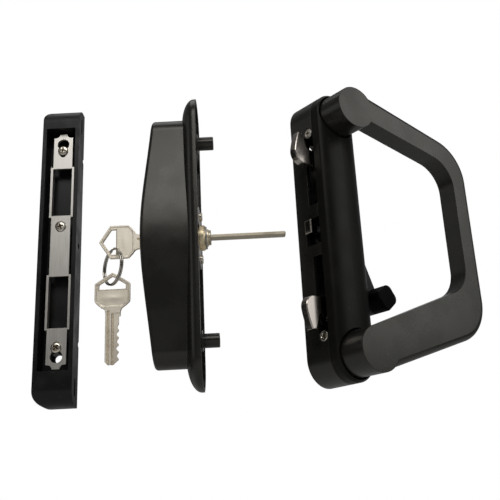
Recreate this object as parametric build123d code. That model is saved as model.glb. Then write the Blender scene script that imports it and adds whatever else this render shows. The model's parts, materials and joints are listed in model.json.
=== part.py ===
from build123d import *
import math
import os

os.makedirs("parts", exist_ok=True)

# Sliding patio door handle set: jamb keeper, outside pull with lock cylinder and keys, inside
# twin-hook latch with its D handle and snib. Units are millimetres, +Z is up, +X runs from
# outdoors to indoors. The origin lies on the cylinder axis, in the plane of the pull's rim.

# Shared sizes
running_gap = 0.1
thread_gap = 0.05
hole_gap = 0.2
wall = 2.2
fixing_half_spacing = 60.0
fixing_screw_radius = 2.5
fixing_head_radius = 4.3
fixing_head_height = 2.6

# Keeper
keeper_length = 185.6
keeper_width = 22.4
keeper_depth = 14.0
keeper_side_corner = 8.0
keeper_end_round = 10.0
keeper_x = -96.4
keeper_front_y = 10.5
keeper_z = 3.0
pocket_top_margin = 14.8
pocket_bottom_margin = 19.4
pocket_side_wall = 2.4
pocket_floor = 1.8
insert_setback = 4.5
insert_thickness = 1.5
insert_width = 11.6
insert_mid = 2.2
insert_shift = 0.6
insert_end_margin = 21.4
insert_nib_height = 2.6
insert_nib_width = 5.2
insert_shoulder_cut = 2.2
window_end_margin = 21.15
centre_web_half = 19.15
rail_thickness = 1.4
rail_depth = 4.0
rail_lap = 1.0
keyhole_end_margin = 4.6
keyhole_radius = 3.6
keyhole_slot_length = 7.0
strike_screw_radius = 1.75
strike_head_radius = 3.1
strike_head_height = 1.6
strike_head_round = 0.7
strike_boss_wall = 1.2
strike_screw_cover = 0.5
top_screw_drop = 4.5
bottom_screw_rise = 5.0
centre_screw_z = 14.3
centre_screw_proud = 1.0
side_cut_depth = 3.0
side_slot_length = 10.5
side_slot_width = 2.6
side_slot_margin = 10.7
side_hole_radius = 1.8
side_hole_z = 2.0
edge_notch_margin = 34.2
edge_notch_radius = 1.6

# Outside pull
pull_length = 176.0
pull_width = 34.0
flange_dome = 9.0
flange_rim = 1.2
body_half_length = 75.0
body_end_radius = 9.5
body_mid_half_width = 14.0
body_end_depth = 25.8
body_mid_depth = 33.0
body_shoulder_z = 40.0
body_shoulder_depth = 30.2
body_edge_round = 2.0
post_radius = 4.0
post_length = 9.3
post_thread_depth = 18.0
post_thread_radius = 2.1
post_boss_radius = 6.0
post_chamfer = 0.3

# Lock cylinder
cylinder_radius = 7.3
cylinder_face_proud = 0.7
cylinder_back_proud = 3.2
cylinder_boss_wall = 2.4
cylinder_face_round = 0.5
cylinder_back_chamfer = 0.8
cylinder_groove_depth = 0.9
plug_radius = 5.0
plug_collar_radius = 5.8
plug_collar_length = 1.2
plug_back_length = 1.6
wafer_count = 5
wafer_pitch = 4.2
wafer_first = 5.0
wafer_thickness = 0.9
wafer_width = 6.6
wafer_channel_front = 3.0
wafer_channel_back = 4.0
wafer_channel_centre = 4.0
wafer_channel_half = 2.2
keyway_gap = 0.12
keyway_run_out = 0.4
clip_radius = 6.6
clip_groove = 0.8
clip_groove_depth = 1.0
clip_mouth = 1.4
tail_width = 6.0
tail_thickness = 1.6
tail_reach = 49.0
tail_head_radius = 4.3
tail_head_thickness = 1.4
tail_chamfer = 0.5
retaining_plate_thickness = 1.2
retaining_plate_half = 17.0
retaining_plate_side = 1.5
retaining_plate_corner = 3.0
retaining_screw_spacing = 13.0
retaining_screw_radius = 1.5
retaining_head_radius = 2.6
retaining_head_height = 1.5
retaining_head_round = 0.6
retaining_screw_length = 8.0
retaining_hole_depth = 9.0
retaining_boss_radius = 3.4

# Keys and ring
key_thickness = 1.9
key_blade_height = 7.6
key_blade_length = 28.0
key_bitting_depth = 2.4
key_neck_length = 4.0
key_bow_length = 20.5
key_bow_height = 20.0
key_hole_corner = 1.2
key_hole_start = 1.9
key_hole_end = 11.4
key_hole_half_height = 7.6
ring_radius = 10.4
ring_wire = 0.6
ring_offset = 16.3
ring_centre_z = -13.0
ring_lean = 52.0
spare_key_z = -42.6

# Inside handle, placed by a yaw about +Z and a shift
handle_yaw = -49.0
handle_x = 68.2
handle_y = 20.3
handle_z = 1.5
case_length = 176.0
case_width = 30.0
case_depth = 17.6
case_floor = 3.0
cover_band = 4.6
cover_crown = 5.0
cover_seam = 0.3
cover_lug_thickness = 2.4
cover_lug_width = 5.5
cover_lug_overlap = 3.2
mechanism_slot_start = 11.0
hook_pivot_s = 3.0
hook_pivot_z = 44.0
hook_thickness = 5.0
hook_plane = 11.0
hook_reach = 31.0
hook_band_low = -4.0
hook_band_high = 6.0
hook_tip_high = 15.5
hook_tip_width = 5.0
hook_eye_radius = 5.5
hook_range = 88.0
hook_pin_radius = 2.5
drive_pin_radius = 1.5
drive_pin_arm = 8.0
slot_play = 0.5
slide_thickness = 1.8
slide_plane = 3.4
slide_step_drop = 16.0
hub_range = 70.0
hub_radius = 6.0
hub_bearing_radius = 4.4
hub_flange_plane = 5.4
hub_flange_thickness = 1.5
hub_top = 15.0
hub_square = 7.8
lever_plane = 7.2
lever_thickness = 3.4
lever_half_width = 4.4
lever_thick_from = 24.0
lever_front = 15.0
lever_knob_s = 30.0
lever_knob_z = -36.5
knob_length = 13.0
knob_width = 14.0
knob_corner = 4.0
knob_front = 25.5
knob_wall = 1.6
plunger_z = 3.2
plunger_height = 8.4
plunger_width = 5.6
plunger_plane = 6.9
plunger_proud = 1.5
plunger_flange = 1.0
plunger_stop = -7.8
plunger_stop_thickness = 1.2
plunger_window_low = -8.5
lever_window_low = -16.0
lever_window_high = 24.0
spring_turns = 2.5
spring_radius = 2.0
spring_wire = 0.3
handle_post_radius = 13.0
handle_post_end_margin = 15.5
handle_post_gap = 1.0
handle_thread_radius = 2.1
handle_thread_depth = 14.0
handle_screw_length = 24.0
case_boss_radius = 7.0
bar_width = 12.0
bar_centre = 35.1
bar_tilt = 6.7
bar_reach = 77.0
bar_top_root_thickness = 17.5
bar_top_inner_corner = 50.5
bar_top_thickness = 15.3
bar_low_root_thickness = 26.2
bar_low_inner_corner = 29.5
bar_low_thickness = 31.0
bar_grip_thickness = 13.0
bar_inner_round = 19.0
bar_outer_round = 27.0
bar_outer_fillet = 3.5
cover_screw_z = 62.0
cover_screw_p = 14.0
cover_screw_radius = 1.6
cover_screw_head = 3.0
cover_screw_head_height = 1.0
cover_screw_length = 4.6


def part_of(shape):
    """One clean solid of a shape."""
    solids = shape.solids()
    return solids[0] if len(solids) == 1 else Compound(children=list(solids))


def save(shape, name):
    """Write one node's STEP file."""
    export_step(part_of(shape), f"parts/{name}.step")


def rod(start, direction, radius, length):
    """A round bar from a start point along a direction."""
    return Plane(origin=start, z_dir=direction) * Cylinder(
        radius, length, align=(Align.CENTER, Align.CENTER, Align.MIN)
    )


def block(low, high):
    """A box between two corners."""
    size = [b - a for a, b in zip(low, high)]
    return Pos(*low) * Box(*size, align=(Align.MIN, Align.MIN, Align.MIN))


def stadium(plane, half_length, radius, depth):
    """A slot-shaped plate: half_length along the plane's Y, radius half its width."""
    sketch = SlotOverall(2 * half_length, 2 * radius, rotation=90)
    return extrude(plane * sketch, depth)


def dome_profile(radius, height, rim):
    """Half section of a domed slot: a straight rim, then a quarter ellipse to the crown."""
    with BuildSketch() as sketch:
        with BuildLine():
            Line((0, 0), (radius, 0))
            Line((radius, 0), (radius, rim))
            EllipticalCenterArc((0, rim), radius, height - rim, start_angle=0, arc_size=90)
            Line((0, height), (0, 0))
        make_face()
    return sketch.sketch


def domed_stadium(half_length, radius, height, rim):
    """A slot-shaped dome on the XY plane, long along Y, rising along +Z."""
    half = dome_profile(radius, height, rim)
    section = Plane.XZ * (half + mirror(half, about=Plane.YZ))
    straight = half_length - radius
    middle = Pos(0, straight, 0) * extrude(section, 2 * straight)
    turned = revolve(Plane.XZ * half, axis=Axis.Z)
    return middle + Pos(0, straight, 0) * turned + Pos(0, -straight, 0) * turned


# The keeper has its own frame: front face at Y = 0, depth along +Y, left side at X = 0
keeper_place = Location((keeper_x, keeper_front_y, keeper_z))
keeper_half = keeper_length / 2
insert_x = keeper_width / 2 + insert_shift
insert_half = keeper_half - insert_end_margin
keyhole_half_spacing = insert_half - keyhole_end_margin
window_length = insert_half - window_end_margin - centre_web_half
window_offset = centre_web_half + window_length / 2


def keeper_block():
    """The cast outer block with rounded left corners and rounded-under ends."""
    front = RectangleRounded(keeper_width + keeper_side_corner, keeper_length, keeper_side_corner)
    front = Pos((keeper_width + keeper_side_corner) / 2, 0) * front
    body = extrude(Plane.XZ * front, -keeper_depth)
    body &= block((0, 0, -keeper_half), (keeper_width, keeper_depth, keeper_half))
    profile = Pos((keeper_depth + keeper_end_round) / 2, 0) * RectangleRounded(
        keeper_depth + keeper_end_round, keeper_length, keeper_end_round - 0.01
    )
    body &= extrude(Plane.YZ * profile, keeper_width)
    return body


def keeper_housing():
    """The keeper's housing: pocket, seats, screw bosses, keyhole fixings, side slots."""
    body = keeper_block()
    back = keeper_depth - pocket_floor
    body -= block(
        (pocket_side_wall, -1, pocket_bottom_margin - keeper_half),
        (keeper_width - pocket_side_wall, back, keeper_half - pocket_top_margin),
    )
    seat_top = insert_setback + insert_thickness
    boss_radius = strike_head_radius + strike_boss_wall
    for z in strike_screw_heights():
        body += rod((insert_x, seat_top, z), (0, 1, 0), boss_radius, back - seat_top + 0.2)
        body -= rod((insert_x, seat_top - 1, z), (0, 1, 0), strike_screw_radius, keeper_depth + 2)
    for z in keyhole_heights():
        body -= rod((insert_x, 0, z), (0, 1, 0), fixing_screw_radius, keeper_depth + 1)
    side = keeper_width - side_cut_depth
    for sign in (1, -1):
        slot = SlotOverall(side_slot_length, side_slot_width, rotation=90)
        slot = Pos(keeper_depth / 2, sign * (keeper_half - side_slot_margin)) * slot
        body -= extrude(Plane.YZ.offset(side) * slot, side_cut_depth + 1)
        notch_z = insert_mid + sign * (keeper_half - edge_notch_margin)
        body -= rod((side, keeper_depth, notch_z), (1, 0, 0), edge_notch_radius, side_cut_depth + 1)
    hole = (side, keeper_depth / 2, side_hole_z)
    body -= rod(hole, (1, 0, 0), side_hole_radius, side_cut_depth + 1)
    return keeper_place * body


def keyhole_heights():
    """Heights of the two keyhole openings."""
    return [insert_mid + keyhole_half_spacing, insert_mid - keyhole_half_spacing]


def strike_screw_heights():
    """Heights of the top, bottom and centre insert screws."""
    top, bottom = keyhole_heights()
    return [top - top_screw_drop, bottom + bottom_screw_rise, centre_screw_z]


def insert_outline():
    """Face outline of the steel insert: a bar with a central nib between concave shoulders."""
    face = Rectangle(insert_width, 2 * insert_half)
    nib = Rectangle(insert_nib_width + 2 * insert_shoulder_cut, 2 * insert_nib_height)
    for sign in (1, -1):
        face += Pos(0, sign * insert_half) * nib
        for side in (1, -1):
            x = side * (insert_nib_width / 2 + insert_shoulder_cut)
            face -= Pos(x, sign * (insert_half + insert_nib_height)) * Circle(insert_nib_height)
    return face


def strike_insert():
    """The brushed steel strike: plate, two hook windows with turned-back rails, keyholes."""
    face = insert_outline()
    slot_length = keyhole_slot_length + 2 * strike_screw_radius
    slot = SlotOverall(slot_length, 2 * (strike_screw_radius + hole_gap), rotation=90)
    for sign in (1, -1):
        face -= Pos(0, sign * window_offset) * Rectangle(insert_width + 1, window_length)
        z = sign * keyhole_half_spacing
        face -= Pos(0, z) * Circle(keyhole_radius)
        face -= Pos(0, z - sign * keyhole_slot_length / 2) * slot
    plate = extrude(Plane.XZ * face, -insert_thickness)
    centre = (0, -1, centre_screw_z - insert_mid)
    plate -= rod(centre, (0, 1, 0), strike_head_radius + running_gap + hole_gap, strike_head_height)
    plate -= rod(centre, (0, 1, 0), strike_screw_radius + hole_gap, insert_thickness + 2)
    for sign in (1, -1):
        for side in (1, -1):
            rail = Box(rail_thickness, rail_depth, window_length + 2 * rail_lap)
            x = side * (insert_width + rail_thickness) / 2
            plate += Pos(x, rail_depth / 2, sign * window_offset) * rail
    return keeper_place * Pos(insert_x, insert_setback, insert_mid) * plate


def strike_screw(z, sunk):
    """A pan-head screw through the insert into the housing boss."""
    head_base = insert_setback + sunk
    shank = keeper_depth - strike_screw_cover - head_base
    screw = rod((0, head_base, 0), (0, -1, 0), strike_head_radius, strike_head_height)
    screw += rod((0, head_base, 0), (0, 1, 0), strike_screw_radius - thread_gap, shank)
    rim = screw.edges().filter_by(GeomType.CIRCLE).sort_by(Axis.Y)[0]
    screw = fillet(rim, strike_head_round)
    return keeper_place * Pos(insert_x, 0, z) * screw


def pull_outline(inset):
    """Plan of the grip, shrunk by an inset: rounded ends and sides that swell round the cylinder."""
    end_z = body_half_length - body_end_radius
    end_radius = body_end_radius - inset
    half_width = body_mid_half_width - inset
    with BuildSketch() as sketch:
        with BuildLine():
            Spline(
                (end_radius, -end_z), (half_width, 0), (end_radius, end_z),
                tangents=((0, 1), (0, 1)),
            )
            CenterArc((0, end_z), end_radius, 0, 180)
            Spline(
                (-end_radius, end_z), (-half_width, 0), (-end_radius, -end_z),
                tangents=((0, -1), (0, -1)),
            )
            CenterArc((0, -end_z), end_radius, 180, 180)
        make_face()
    return sketch.sketch


def crown_profile(inset):
    """Side profile of the grip, back at X = 0 and crown towards -X, drawn as (X, Z)."""
    end = body_half_length + 5
    with BuildSketch() as sketch:
        with BuildLine():
            Line((0, -end), (0, end))
            Line((0, end), (-body_end_depth + inset, end))
            Spline(
                (-body_end_depth + inset, end), (-body_shoulder_depth + inset, body_shoulder_z),
                (-body_mid_depth + inset, 0), (-body_shoulder_depth + inset, -body_shoulder_z),
                (-body_end_depth + inset, -end),
            )
            Line((-body_end_depth + inset, -end), (0, -end))
        make_face()
    return sketch.sketch


def grip_solid(inset):
    """The grip as a solid, shrunk by an inset for the hollow."""
    body = extrude(Plane.YZ.offset(-body_mid_depth - 5) * pull_outline(inset), body_mid_depth + 5)
    side = extrude(Plane.XZ.offset(-pull_width) * crown_profile(inset), 2 * pull_width)
    return body & side


def pull_body():
    """The cast outside pull: domed flange, hollow grip, cylinder boss and two screw posts."""
    dome_plane = Plane(origin=(0, 0, 0), x_dir=(0, 1, 0), z_dir=(-1, 0, 0))
    flange = dome_plane * domed_stadium(pull_length / 2, pull_width / 2, flange_dome, flange_rim)
    grip = grip_solid(0)
    crown_edges = grip.edges().filter_by(lambda e: e.center().X < -body_end_depth + 4)
    grip = fillet(crown_edges, body_edge_round)
    hollow = dome_plane * domed_stadium(
        pull_length / 2 - wall, pull_width / 2 - wall, flange_dome - wall, flange_rim
    )
    body = flange + grip - hollow - grip_solid(wall)
    inner = grip_solid(wall / 2)
    boss_radius = cylinder_radius + running_gap + cylinder_boss_wall
    seat_x = -retaining_plate_thickness - running_gap
    body += rod((seat_x, 0, 0), (-1, 0, 0), boss_radius, body_mid_depth) & inner
    body -= rod((1, 0, 0), (-1, 0, 0), cylinder_radius + running_gap, body_mid_depth + 2)
    for z in (fixing_half_spacing, -fixing_half_spacing):
        body += rod((0, 0, z), (-1, 0, 0), post_boss_radius, body_mid_depth) & inner
        post = rod((-1, 0, z), (1, 0, 0), post_radius, post_length + 1)
        post = chamfer(post.edges().filter_by(GeomType.CIRCLE).sort_by(Axis.X)[-1], post_chamfer)
        body += post
        body -= rod((post_length + 1, 0, z), (-1, 0, 0), post_thread_radius, post_thread_depth + 1)
    for z in (retaining_screw_spacing, -retaining_screw_spacing):
        body += rod((seat_x, 0, z), (-1, 0, 0), retaining_boss_radius, body_mid_depth) & inner
        body -= rod((1, 0, z), (-1, 0, 0), retaining_screw_radius, retaining_hole_depth + 1)
    return body


# The cylinder's face stands a little proud of the grip's crown
cylinder_face_x = -body_mid_depth - cylinder_face_proud
clip_groove_x = cylinder_back_proud + running_gap
ring_centre_x = cylinder_face_x - ring_offset


def cylinder_body():
    """The brass cylinder: a tube with a shoulder groove for its retaining plate."""
    length = cylinder_back_proud - cylinder_face_x
    body = rod((cylinder_face_x, 0, 0), (1, 0, 0), cylinder_radius, length)
    rims = body.edges().filter_by(GeomType.CIRCLE).sort_by(Axis.X)
    body = fillet(rims[0], cylinder_face_round)
    rims = body.edges().filter_by(GeomType.CIRCLE).sort_by(Axis.X)
    body = chamfer(rims[-1], cylinder_back_chamfer)
    thickness = retaining_plate_thickness
    groove = rod((-thickness, 0, 0), (1, 0, 0), cylinder_radius + 1, thickness)
    core = cylinder_radius - cylinder_groove_depth
    body -= groove - rod((-2 * wall, 0, 0), (1, 0, 0), core, 4 * wall)
    front = (cylinder_face_x - 1, 0, 0)
    gap = running_gap / 2
    body -= rod(front, (1, 0, 0), plug_radius + gap, length + 2)
    body -= rod(front, (1, 0, 0), plug_collar_radius + gap, plug_collar_length + 1 + gap)
    start = cylinder_face_x + wafer_channel_front
    end = cylinder_back_proud - wafer_channel_back
    for sign in (1, -1):
        z = sign * wafer_channel_centre
        body -= block(
            (start, -wafer_thickness, z - wafer_channel_half),
            (end, wafer_thickness, z + wafer_channel_half),
        )
    return body


def blade_slot(length, clearance):
    """The key's blade as a plain bar, grown by a clearance."""
    half_y = key_thickness / 2 + clearance
    half_z = key_blade_height / 2 + clearance
    return block((-1, -half_y, -half_z), (length, half_y, half_z))


def wafer_stations():
    """Distance of each wafer from the cylinder's face."""
    return [wafer_first + i * wafer_pitch for i in range(wafer_count)]


def cylinder_plug():
    """The turning plug with its keyway, wafer slots, clip groove and tail seat."""
    back = cylinder_back_proud + plug_back_length
    length = back - cylinder_face_x
    plug = rod((cylinder_face_x, 0, 0), (1, 0, 0), plug_radius, length)
    plug += rod((cylinder_face_x, 0, 0), (1, 0, 0), plug_collar_radius, plug_collar_length)
    keyway = blade_slot(key_blade_length + keyway_run_out, keyway_gap)
    plug -= Pos(cylinder_face_x, 0, 0) * keyway
    for station in wafer_stations():
        x = cylinder_face_x + station
        slot = Box(wafer_thickness + 0.2, wafer_width + 0.2, 2 * plug_radius + 1)
        plug -= Pos(x + wafer_thickness / 2, 0, 0) * slot
    groove = rod((clip_groove_x, 0, 0), (1, 0, 0), 2 * plug_radius, clip_groove)
    plug -= groove - rod((0, 0, 0), (1, 0, 0), plug_radius - clip_groove_depth, back)
    return plug


def wafer_tumblers():
    """Five flat wafers, held flush by the key, each with a window for the blade."""
    group = []
    for station in wafer_stations():
        x = cylinder_face_x + station + wafer_thickness / 2
        plate = Box(wafer_thickness, wafer_width, 2 * plug_radius + 1)
        plate &= Cylinder(plug_radius - running_gap / 2, 4, rotation=(0, 90, 0))
        window = Box(2, key_thickness + 0.6, key_blade_height + 0.5)
        group.append(Pos(x, 0, 0) * (plate - window))
    return Compound(children=[solid for plate in group for solid in plate.solids()])


def plug_clip():
    """The spring clip that keeps the plug in the cylinder."""
    gap = running_gap / 2
    x = clip_groove_x + gap
    ring = rod((x, 0, 0), (1, 0, 0), clip_radius, clip_groove - running_gap)
    ring -= rod((x - 1, 0, 0), (1, 0, 0), plug_radius - clip_groove_depth + gap, 4)
    mouth = plug_radius - clip_mouth
    ring -= block((x - 1, -mouth, 0), (x + 3, mouth, 2 * clip_radius))
    return ring


def tailpiece():
    """The flat tail with its round head on the back of the plug and a bevelled end."""
    x0 = cylinder_back_proud + plug_back_length
    head = rod((x0, 0, 0), (1, 0, 0), tail_head_radius, tail_head_thickness)
    half_y = tail_width / 2
    half_z = tail_thickness / 2
    blade = block((x0, -half_y, -half_z), (tail_reach, half_y, half_z))
    ends = blade.faces().sort_by(Axis.X)[-1].edges()
    return head + chamfer(ends, tail_chamfer)


def retaining_plate():
    """The forked plate that holds the cylinder in the casting."""
    half_y = cylinder_radius + retaining_plate_side
    half_z = retaining_plate_half
    plate = block((-retaining_plate_thickness, -half_y, -half_z), (0, half_y, half_z))
    plate = fillet(plate.edges().filter_by(Axis.X), retaining_plate_corner)
    mouth = cylinder_radius - cylinder_groove_depth + running_gap / 2
    plate -= rod((-5, 0, 0), (1, 0, 0), mouth, 10)
    plate -= block((-5, -half_y - 1, -mouth), (5, 0, mouth))
    for z in (retaining_screw_spacing, -retaining_screw_spacing):
        plate -= rod((-5, 0, z), (1, 0, 0), retaining_screw_radius + 0.15, 10)
    return plate


def retaining_screws():
    """Two small screws through the retaining plate into the casting."""
    group = []
    for z in (retaining_screw_spacing, -retaining_screw_spacing):
        screw = rod((0, 0, z), (1, 0, 0), retaining_head_radius, retaining_head_height)
        rims = screw.edges().filter_by(GeomType.CIRCLE).sort_by(Axis.X)
        screw = fillet(rims[-1], retaining_head_round)
        core = retaining_screw_radius - thread_gap
        group.append(screw + rod((0, 0, z), (-1, 0, 0), core, retaining_screw_length))
    return Compound(children=[solid for screw in group for solid in screw.solids()])


# A key's own frame: shoulder at the origin, blade along +X, bow towards -X, flat in XZ
def key_outline():
    """Outline of bow, neck and toothed blade."""
    half = key_blade_height / 2
    low = half - key_bitting_depth
    pitch = wafer_pitch
    points = [(0, half), (key_blade_length - 3, half), (key_blade_length, 0.6)]
    points += [(key_blade_length - 1.6, -low)]
    for i in reversed(range(wafer_count)):
        x = wafer_first + i * pitch
        depth = low + (0.9 if i % 2 else 0.1)
        points += [(x + 1.3, -depth - 0.9), (x + 0.6, -depth), (x - 0.4, -depth)]
    points += [(1.5, -half), (0, -half)]
    neck = key_neck_length
    bow = key_bow_height / 2
    end = -neck - key_bow_length
    points += [(-neck, -half - 0.6), (-neck - 3.0, -bow), (end + 7.5, -bow), (end + 1.2, -2.6)]
    points += [(end, 0), (end + 1.2, 2.6), (end + 7.5, bow), (-neck - 3.0, bow), (-neck, half + 0.6)]
    return make_face(Polyline(points, close=True))


def key_blank():
    """A flat steel key with a triangular hole in its bow and a milled groove on each side."""
    key = extrude(Plane.XZ.offset(-key_thickness / 2) * key_outline(), key_thickness)
    key = fillet(bow_corner_edges(key), 1.5)
    end = -key_neck_length - key_bow_length
    flat_side = end + key_hole_end
    point = (end + key_hole_start, 0)
    corners = [point, (flat_side, key_hole_half_height), (flat_side, -key_hole_half_height)]
    hole = make_face(Polyline(corners, close=True))
    hole = fillet(hole.vertices(), key_hole_corner)
    key -= extrude(Plane.XZ.offset(-key_thickness) * hole, 2 * key_thickness)
    for side in (1, -1):
        groove = block((-1.0, 0, -0.8), (key_blade_length - 1, 0.5, 0.8))
        key -= Pos(0, side * key_thickness / 2 - 0.25, side * 0.9) * groove
    return key


def bow_corner_edges(key):
    """The upright corners of the bow."""
    limit = -key_neck_length - 1
    return key.edges().filter_by(Axis.Y).filter_by(lambda e: e.center().X < limit)


def inserted_key():
    """The key in the cylinder."""
    return Pos(cylinder_face_x, 0, 0) * key_blank()


def key_ring():
    """The split ring through both bows, as two turns of wire side by side."""
    shift = 0.9 * ring_wire
    turn = Torus(ring_radius, ring_wire)
    return ring_location() * (Pos(0, 0, shift) * turn + Pos(0, 0, -shift) * turn)


def ring_location():
    """Place of the split ring: hanging from the upper bow, turned half edge-on."""
    centre = Location((ring_centre_x, 0, ring_centre_z))
    return centre * Rotation(0, 0, ring_lean) * Rotation(90, 0, 0)


def spare_key():
    """The second key, hanging from the ring with its blade down."""
    return Location((ring_centre_x, 0, spare_key_z)) * Rotation(0, 90, 0) * key_blank()


# The handle's own frame: X is the depth P off the door, Y the side S away from the jamb, Z up
handle_place = Location((handle_x, handle_y, handle_z)) * Rotation(0, 0, handle_yaw)
door_plane = Plane(origin=(0, 0, 0), x_dir=(0, 1, 0), z_dir=(1, 0, 0))
case_half = case_length / 2
case_radius = case_width / 2
case_rim = case_depth
cover_front = case_depth + cover_band
handle_post_z = case_half - handle_post_end_margin
bar_root = handle_post_z + handle_post_radius
bar_top_inner_root = bar_root - bar_top_root_thickness
bar_low_inner_root = bar_root - bar_low_root_thickness
drive_rise = drive_pin_arm * math.sin(math.radians(hook_range / 2))
drive_run = drive_pin_arm * math.cos(math.radians(hook_range / 2))
hub_pin_arm = drive_rise / math.sin(math.radians(hub_range / 2))
hub_pin_run = hub_pin_arm * math.cos(math.radians(hub_range / 2))
hook_slot_top = hook_pivot_z + hook_tip_high + 0.8
hook_slot_bottom = 15.5
lever_angle = math.degrees(math.atan2(lever_knob_z, lever_knob_s))


def case_shell():
    """The latch case's tray: floor, side wall and rounded ends."""
    outer = stadium(door_plane, case_half, case_radius, case_rim)
    inner = stadium(door_plane.offset(case_floor), case_half - wall, case_radius - wall, case_rim)
    return outer - inner


def lock_case():
    """The cast latch case with its bosses, slots, bearing and fixing holes."""
    body = case_shell()
    for z in (handle_post_z, -handle_post_z):
        body += rod((case_floor - 0.5, 0, z), (1, 0, 0), case_boss_radius, case_rim - case_floor + 0.5)
        body -= rod((-1, 0, z), (1, 0, 0), fixing_screw_radius + hole_gap, case_rim + 2)
        body -= rod((-1, 0, z), (1, 0, 0), fixing_head_radius + 2 * hole_gap, case_floor + 1)
    for z in (fixing_half_spacing, -fixing_half_spacing):
        body -= rod((-1, 0, z), (1, 0, 0), fixing_screw_radius + hole_gap, case_floor + 2)
    outside = -case_radius - 1
    inside = -case_radius + wall + 1
    for sign in (1, -1):
        low, high = sorted((sign * hook_slot_top, sign * hook_slot_bottom))
        body -= block((mechanism_slot_start - 0.3, outside, low), (case_rim + 1, inside, high))
        screw = (cover_screw_p, outside, sign * cover_screw_z)
        body -= rod(screw, (0, 1, 0), cover_screw_radius + hole_gap, wall + 2)
        body -= rod(screw, (0, 1, 0), cover_screw_head + 0.15, 1 + cover_screw_head_height)
        pivot = (-1, hook_pivot_s, sign * hook_pivot_z)
        body -= rod(pivot, (1, 0, 0), hook_pin_radius, case_floor + 2)
    window_top = plunger_z + plunger_height / 2 + hole_gap
    window_low = (plunger_plane - hole_gap, outside, plunger_window_low)
    body -= block(window_low, (case_rim + 1, inside, window_top))
    lever_low = (lever_plane - 0.5, case_radius - wall - 1, lever_window_low)
    lever_high = (lever_plane + lever_thickness + 0.5, case_radius + 1, lever_window_high)
    body -= block(lever_low, lever_high)
    body -= rod((-1, 0, 0), (1, 0, 0), hub_bearing_radius + running_gap, case_floor + 2)
    return handle_place * body


def front_cover():
    """The arched cover of the latch case, with its two post holes and screw lugs."""
    base = door_plane.offset(case_rim + cover_seam)
    band = cover_band - cover_seam
    height = band + cover_crown
    cover = base * domed_stadium(case_half, case_radius, height, band)
    hollow = domed_stadium(case_half - wall, case_radius - wall, height - wall, band - 1)
    cover -= base * hollow
    post_hole = handle_post_radius + handle_post_gap
    for z in (handle_post_z, -handle_post_z):
        cover -= rod((case_rim - 1, 0, z), (1, 0, 0), post_hole, 30)
    for sign in (1, -1):
        lug_s = -case_radius + wall + 0.1
        low_z = sign * cover_screw_z - cover_lug_width / 2
        high_z = low_z + cover_lug_width
        lug_end = (cover_front, lug_s + cover_lug_thickness, high_z)
        lug = block((cover_screw_p - cover_lug_overlap, lug_s, low_z), lug_end)
        root = (case_rim + cover_seam, lug_s - wall / 2, low_z)
        lug += block(root, (cover_front, lug_s + 1, high_z))
        screw = (cover_screw_p, lug_s - 1, sign * cover_screw_z)
        lug -= rod(screw, (0, 1, 0), cover_screw_radius, 8)
        lug -= rod((0, 0, sign * handle_post_z), (1, 0, 0), post_hole, 40)
        cover += lug
    stop_start = (plunger_plane + 0.6, plunger_stop, plunger_z - 3)
    stop_end = (cover_front + 3.0, plunger_stop + plunger_stop_thickness, plunger_z + 3)
    cover += block(stop_start, stop_end)
    return handle_place * cover


def bar_outline():
    """Side outline of the D bar, drawn as (reach, Z): inner and outer edges with round corners."""
    reach = bar_reach
    outer = reach + bar_grip_thickness
    root = bar_root
    top_slope = (bar_top_inner_corner + bar_top_thickness - root) / reach
    low_slope = (root - bar_low_inner_corner - bar_low_thickness) / reach
    inside = FilletPolyline(
        (0, bar_top_inner_root), (reach, bar_top_inner_corner), (reach, -bar_low_inner_corner),
        (0, -bar_low_inner_root), radius=bar_inner_round,
    )
    outside = FilletPolyline(
        (0, root), (outer, root + top_slope * outer), (outer, low_slope * outer - root),
        (0, -root), radius=bar_outer_round,
    )
    top_end = Line((0, root), (0, bar_top_inner_root))
    low_end = Line((0, -root), (0, -bar_low_inner_root))
    return make_face(inside.edges() + outside.edges() + [top_end.edge(), low_end.edge()])


def d_handle():
    """The one-piece cast D handle: two round posts and a D-section bar."""
    angle = math.radians(bar_tilt)
    across = (math.cos(angle), -math.sin(angle), 0)
    along = (math.sin(angle), math.cos(angle), 0)
    start = (bar_centre - bar_width / 2 * across[0], -bar_width / 2 * across[1], 0)
    plane = Plane(origin=start, x_dir=along, z_dir=across)
    bar = extrude(plane * bar_outline(), bar_width)
    bar = fillet(bar_outer_edges(bar, plane), bar_outer_fillet)
    far = case_length
    behind_front = plane * block((-far, -far, -far), (far, far, bar_width))
    grow = handle_post_gap
    bar -= door_plane.offset(case_rim) * domed_stadium(
        case_half + grow, case_radius + grow, cover_band + cover_crown + grow, cover_band
    )
    seat = case_rim + running_gap
    for z in (handle_post_z, -handle_post_z):
        post = rod((seat, 0, z), (1, 0, 0), handle_post_radius, 2 * bar_centre - seat)
        bar += post & behind_front
    for z in (handle_post_z, -handle_post_z):
        bar -= rod((seat - 1, 0, z), (1, 0, 0), handle_thread_radius, handle_thread_depth + 1)
    return handle_place * bar


def bar_outer_edges(bar, plane):
    """The bar's long edges on the side away from the hand, leaving out the root faces."""
    found = []
    for edge in bar.edges():
        start = plane.to_local_coords(edge @ 0)
        end = plane.to_local_coords(edge @ 1)
        middle = plane.to_local_coords(edge @ 0.5)
        if abs(start.Z - end.Z) > 1 or max(start.X, end.X) < 1:
            continue
        inside_arms = -bar_low_middle(middle.X) < middle.Y < bar_top_middle(middle.X)
        if middle.X > bar_reach + 2 or not inside_arms:
            found.append(edge)
    return found


def bar_top_middle(x):
    """Height of the top arm's middle line at a reach."""
    root = (bar_top_inner_root + bar_root) / 2
    corner = bar_top_inner_corner + bar_top_thickness / 2
    return root + (corner - root) * x / bar_reach


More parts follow.
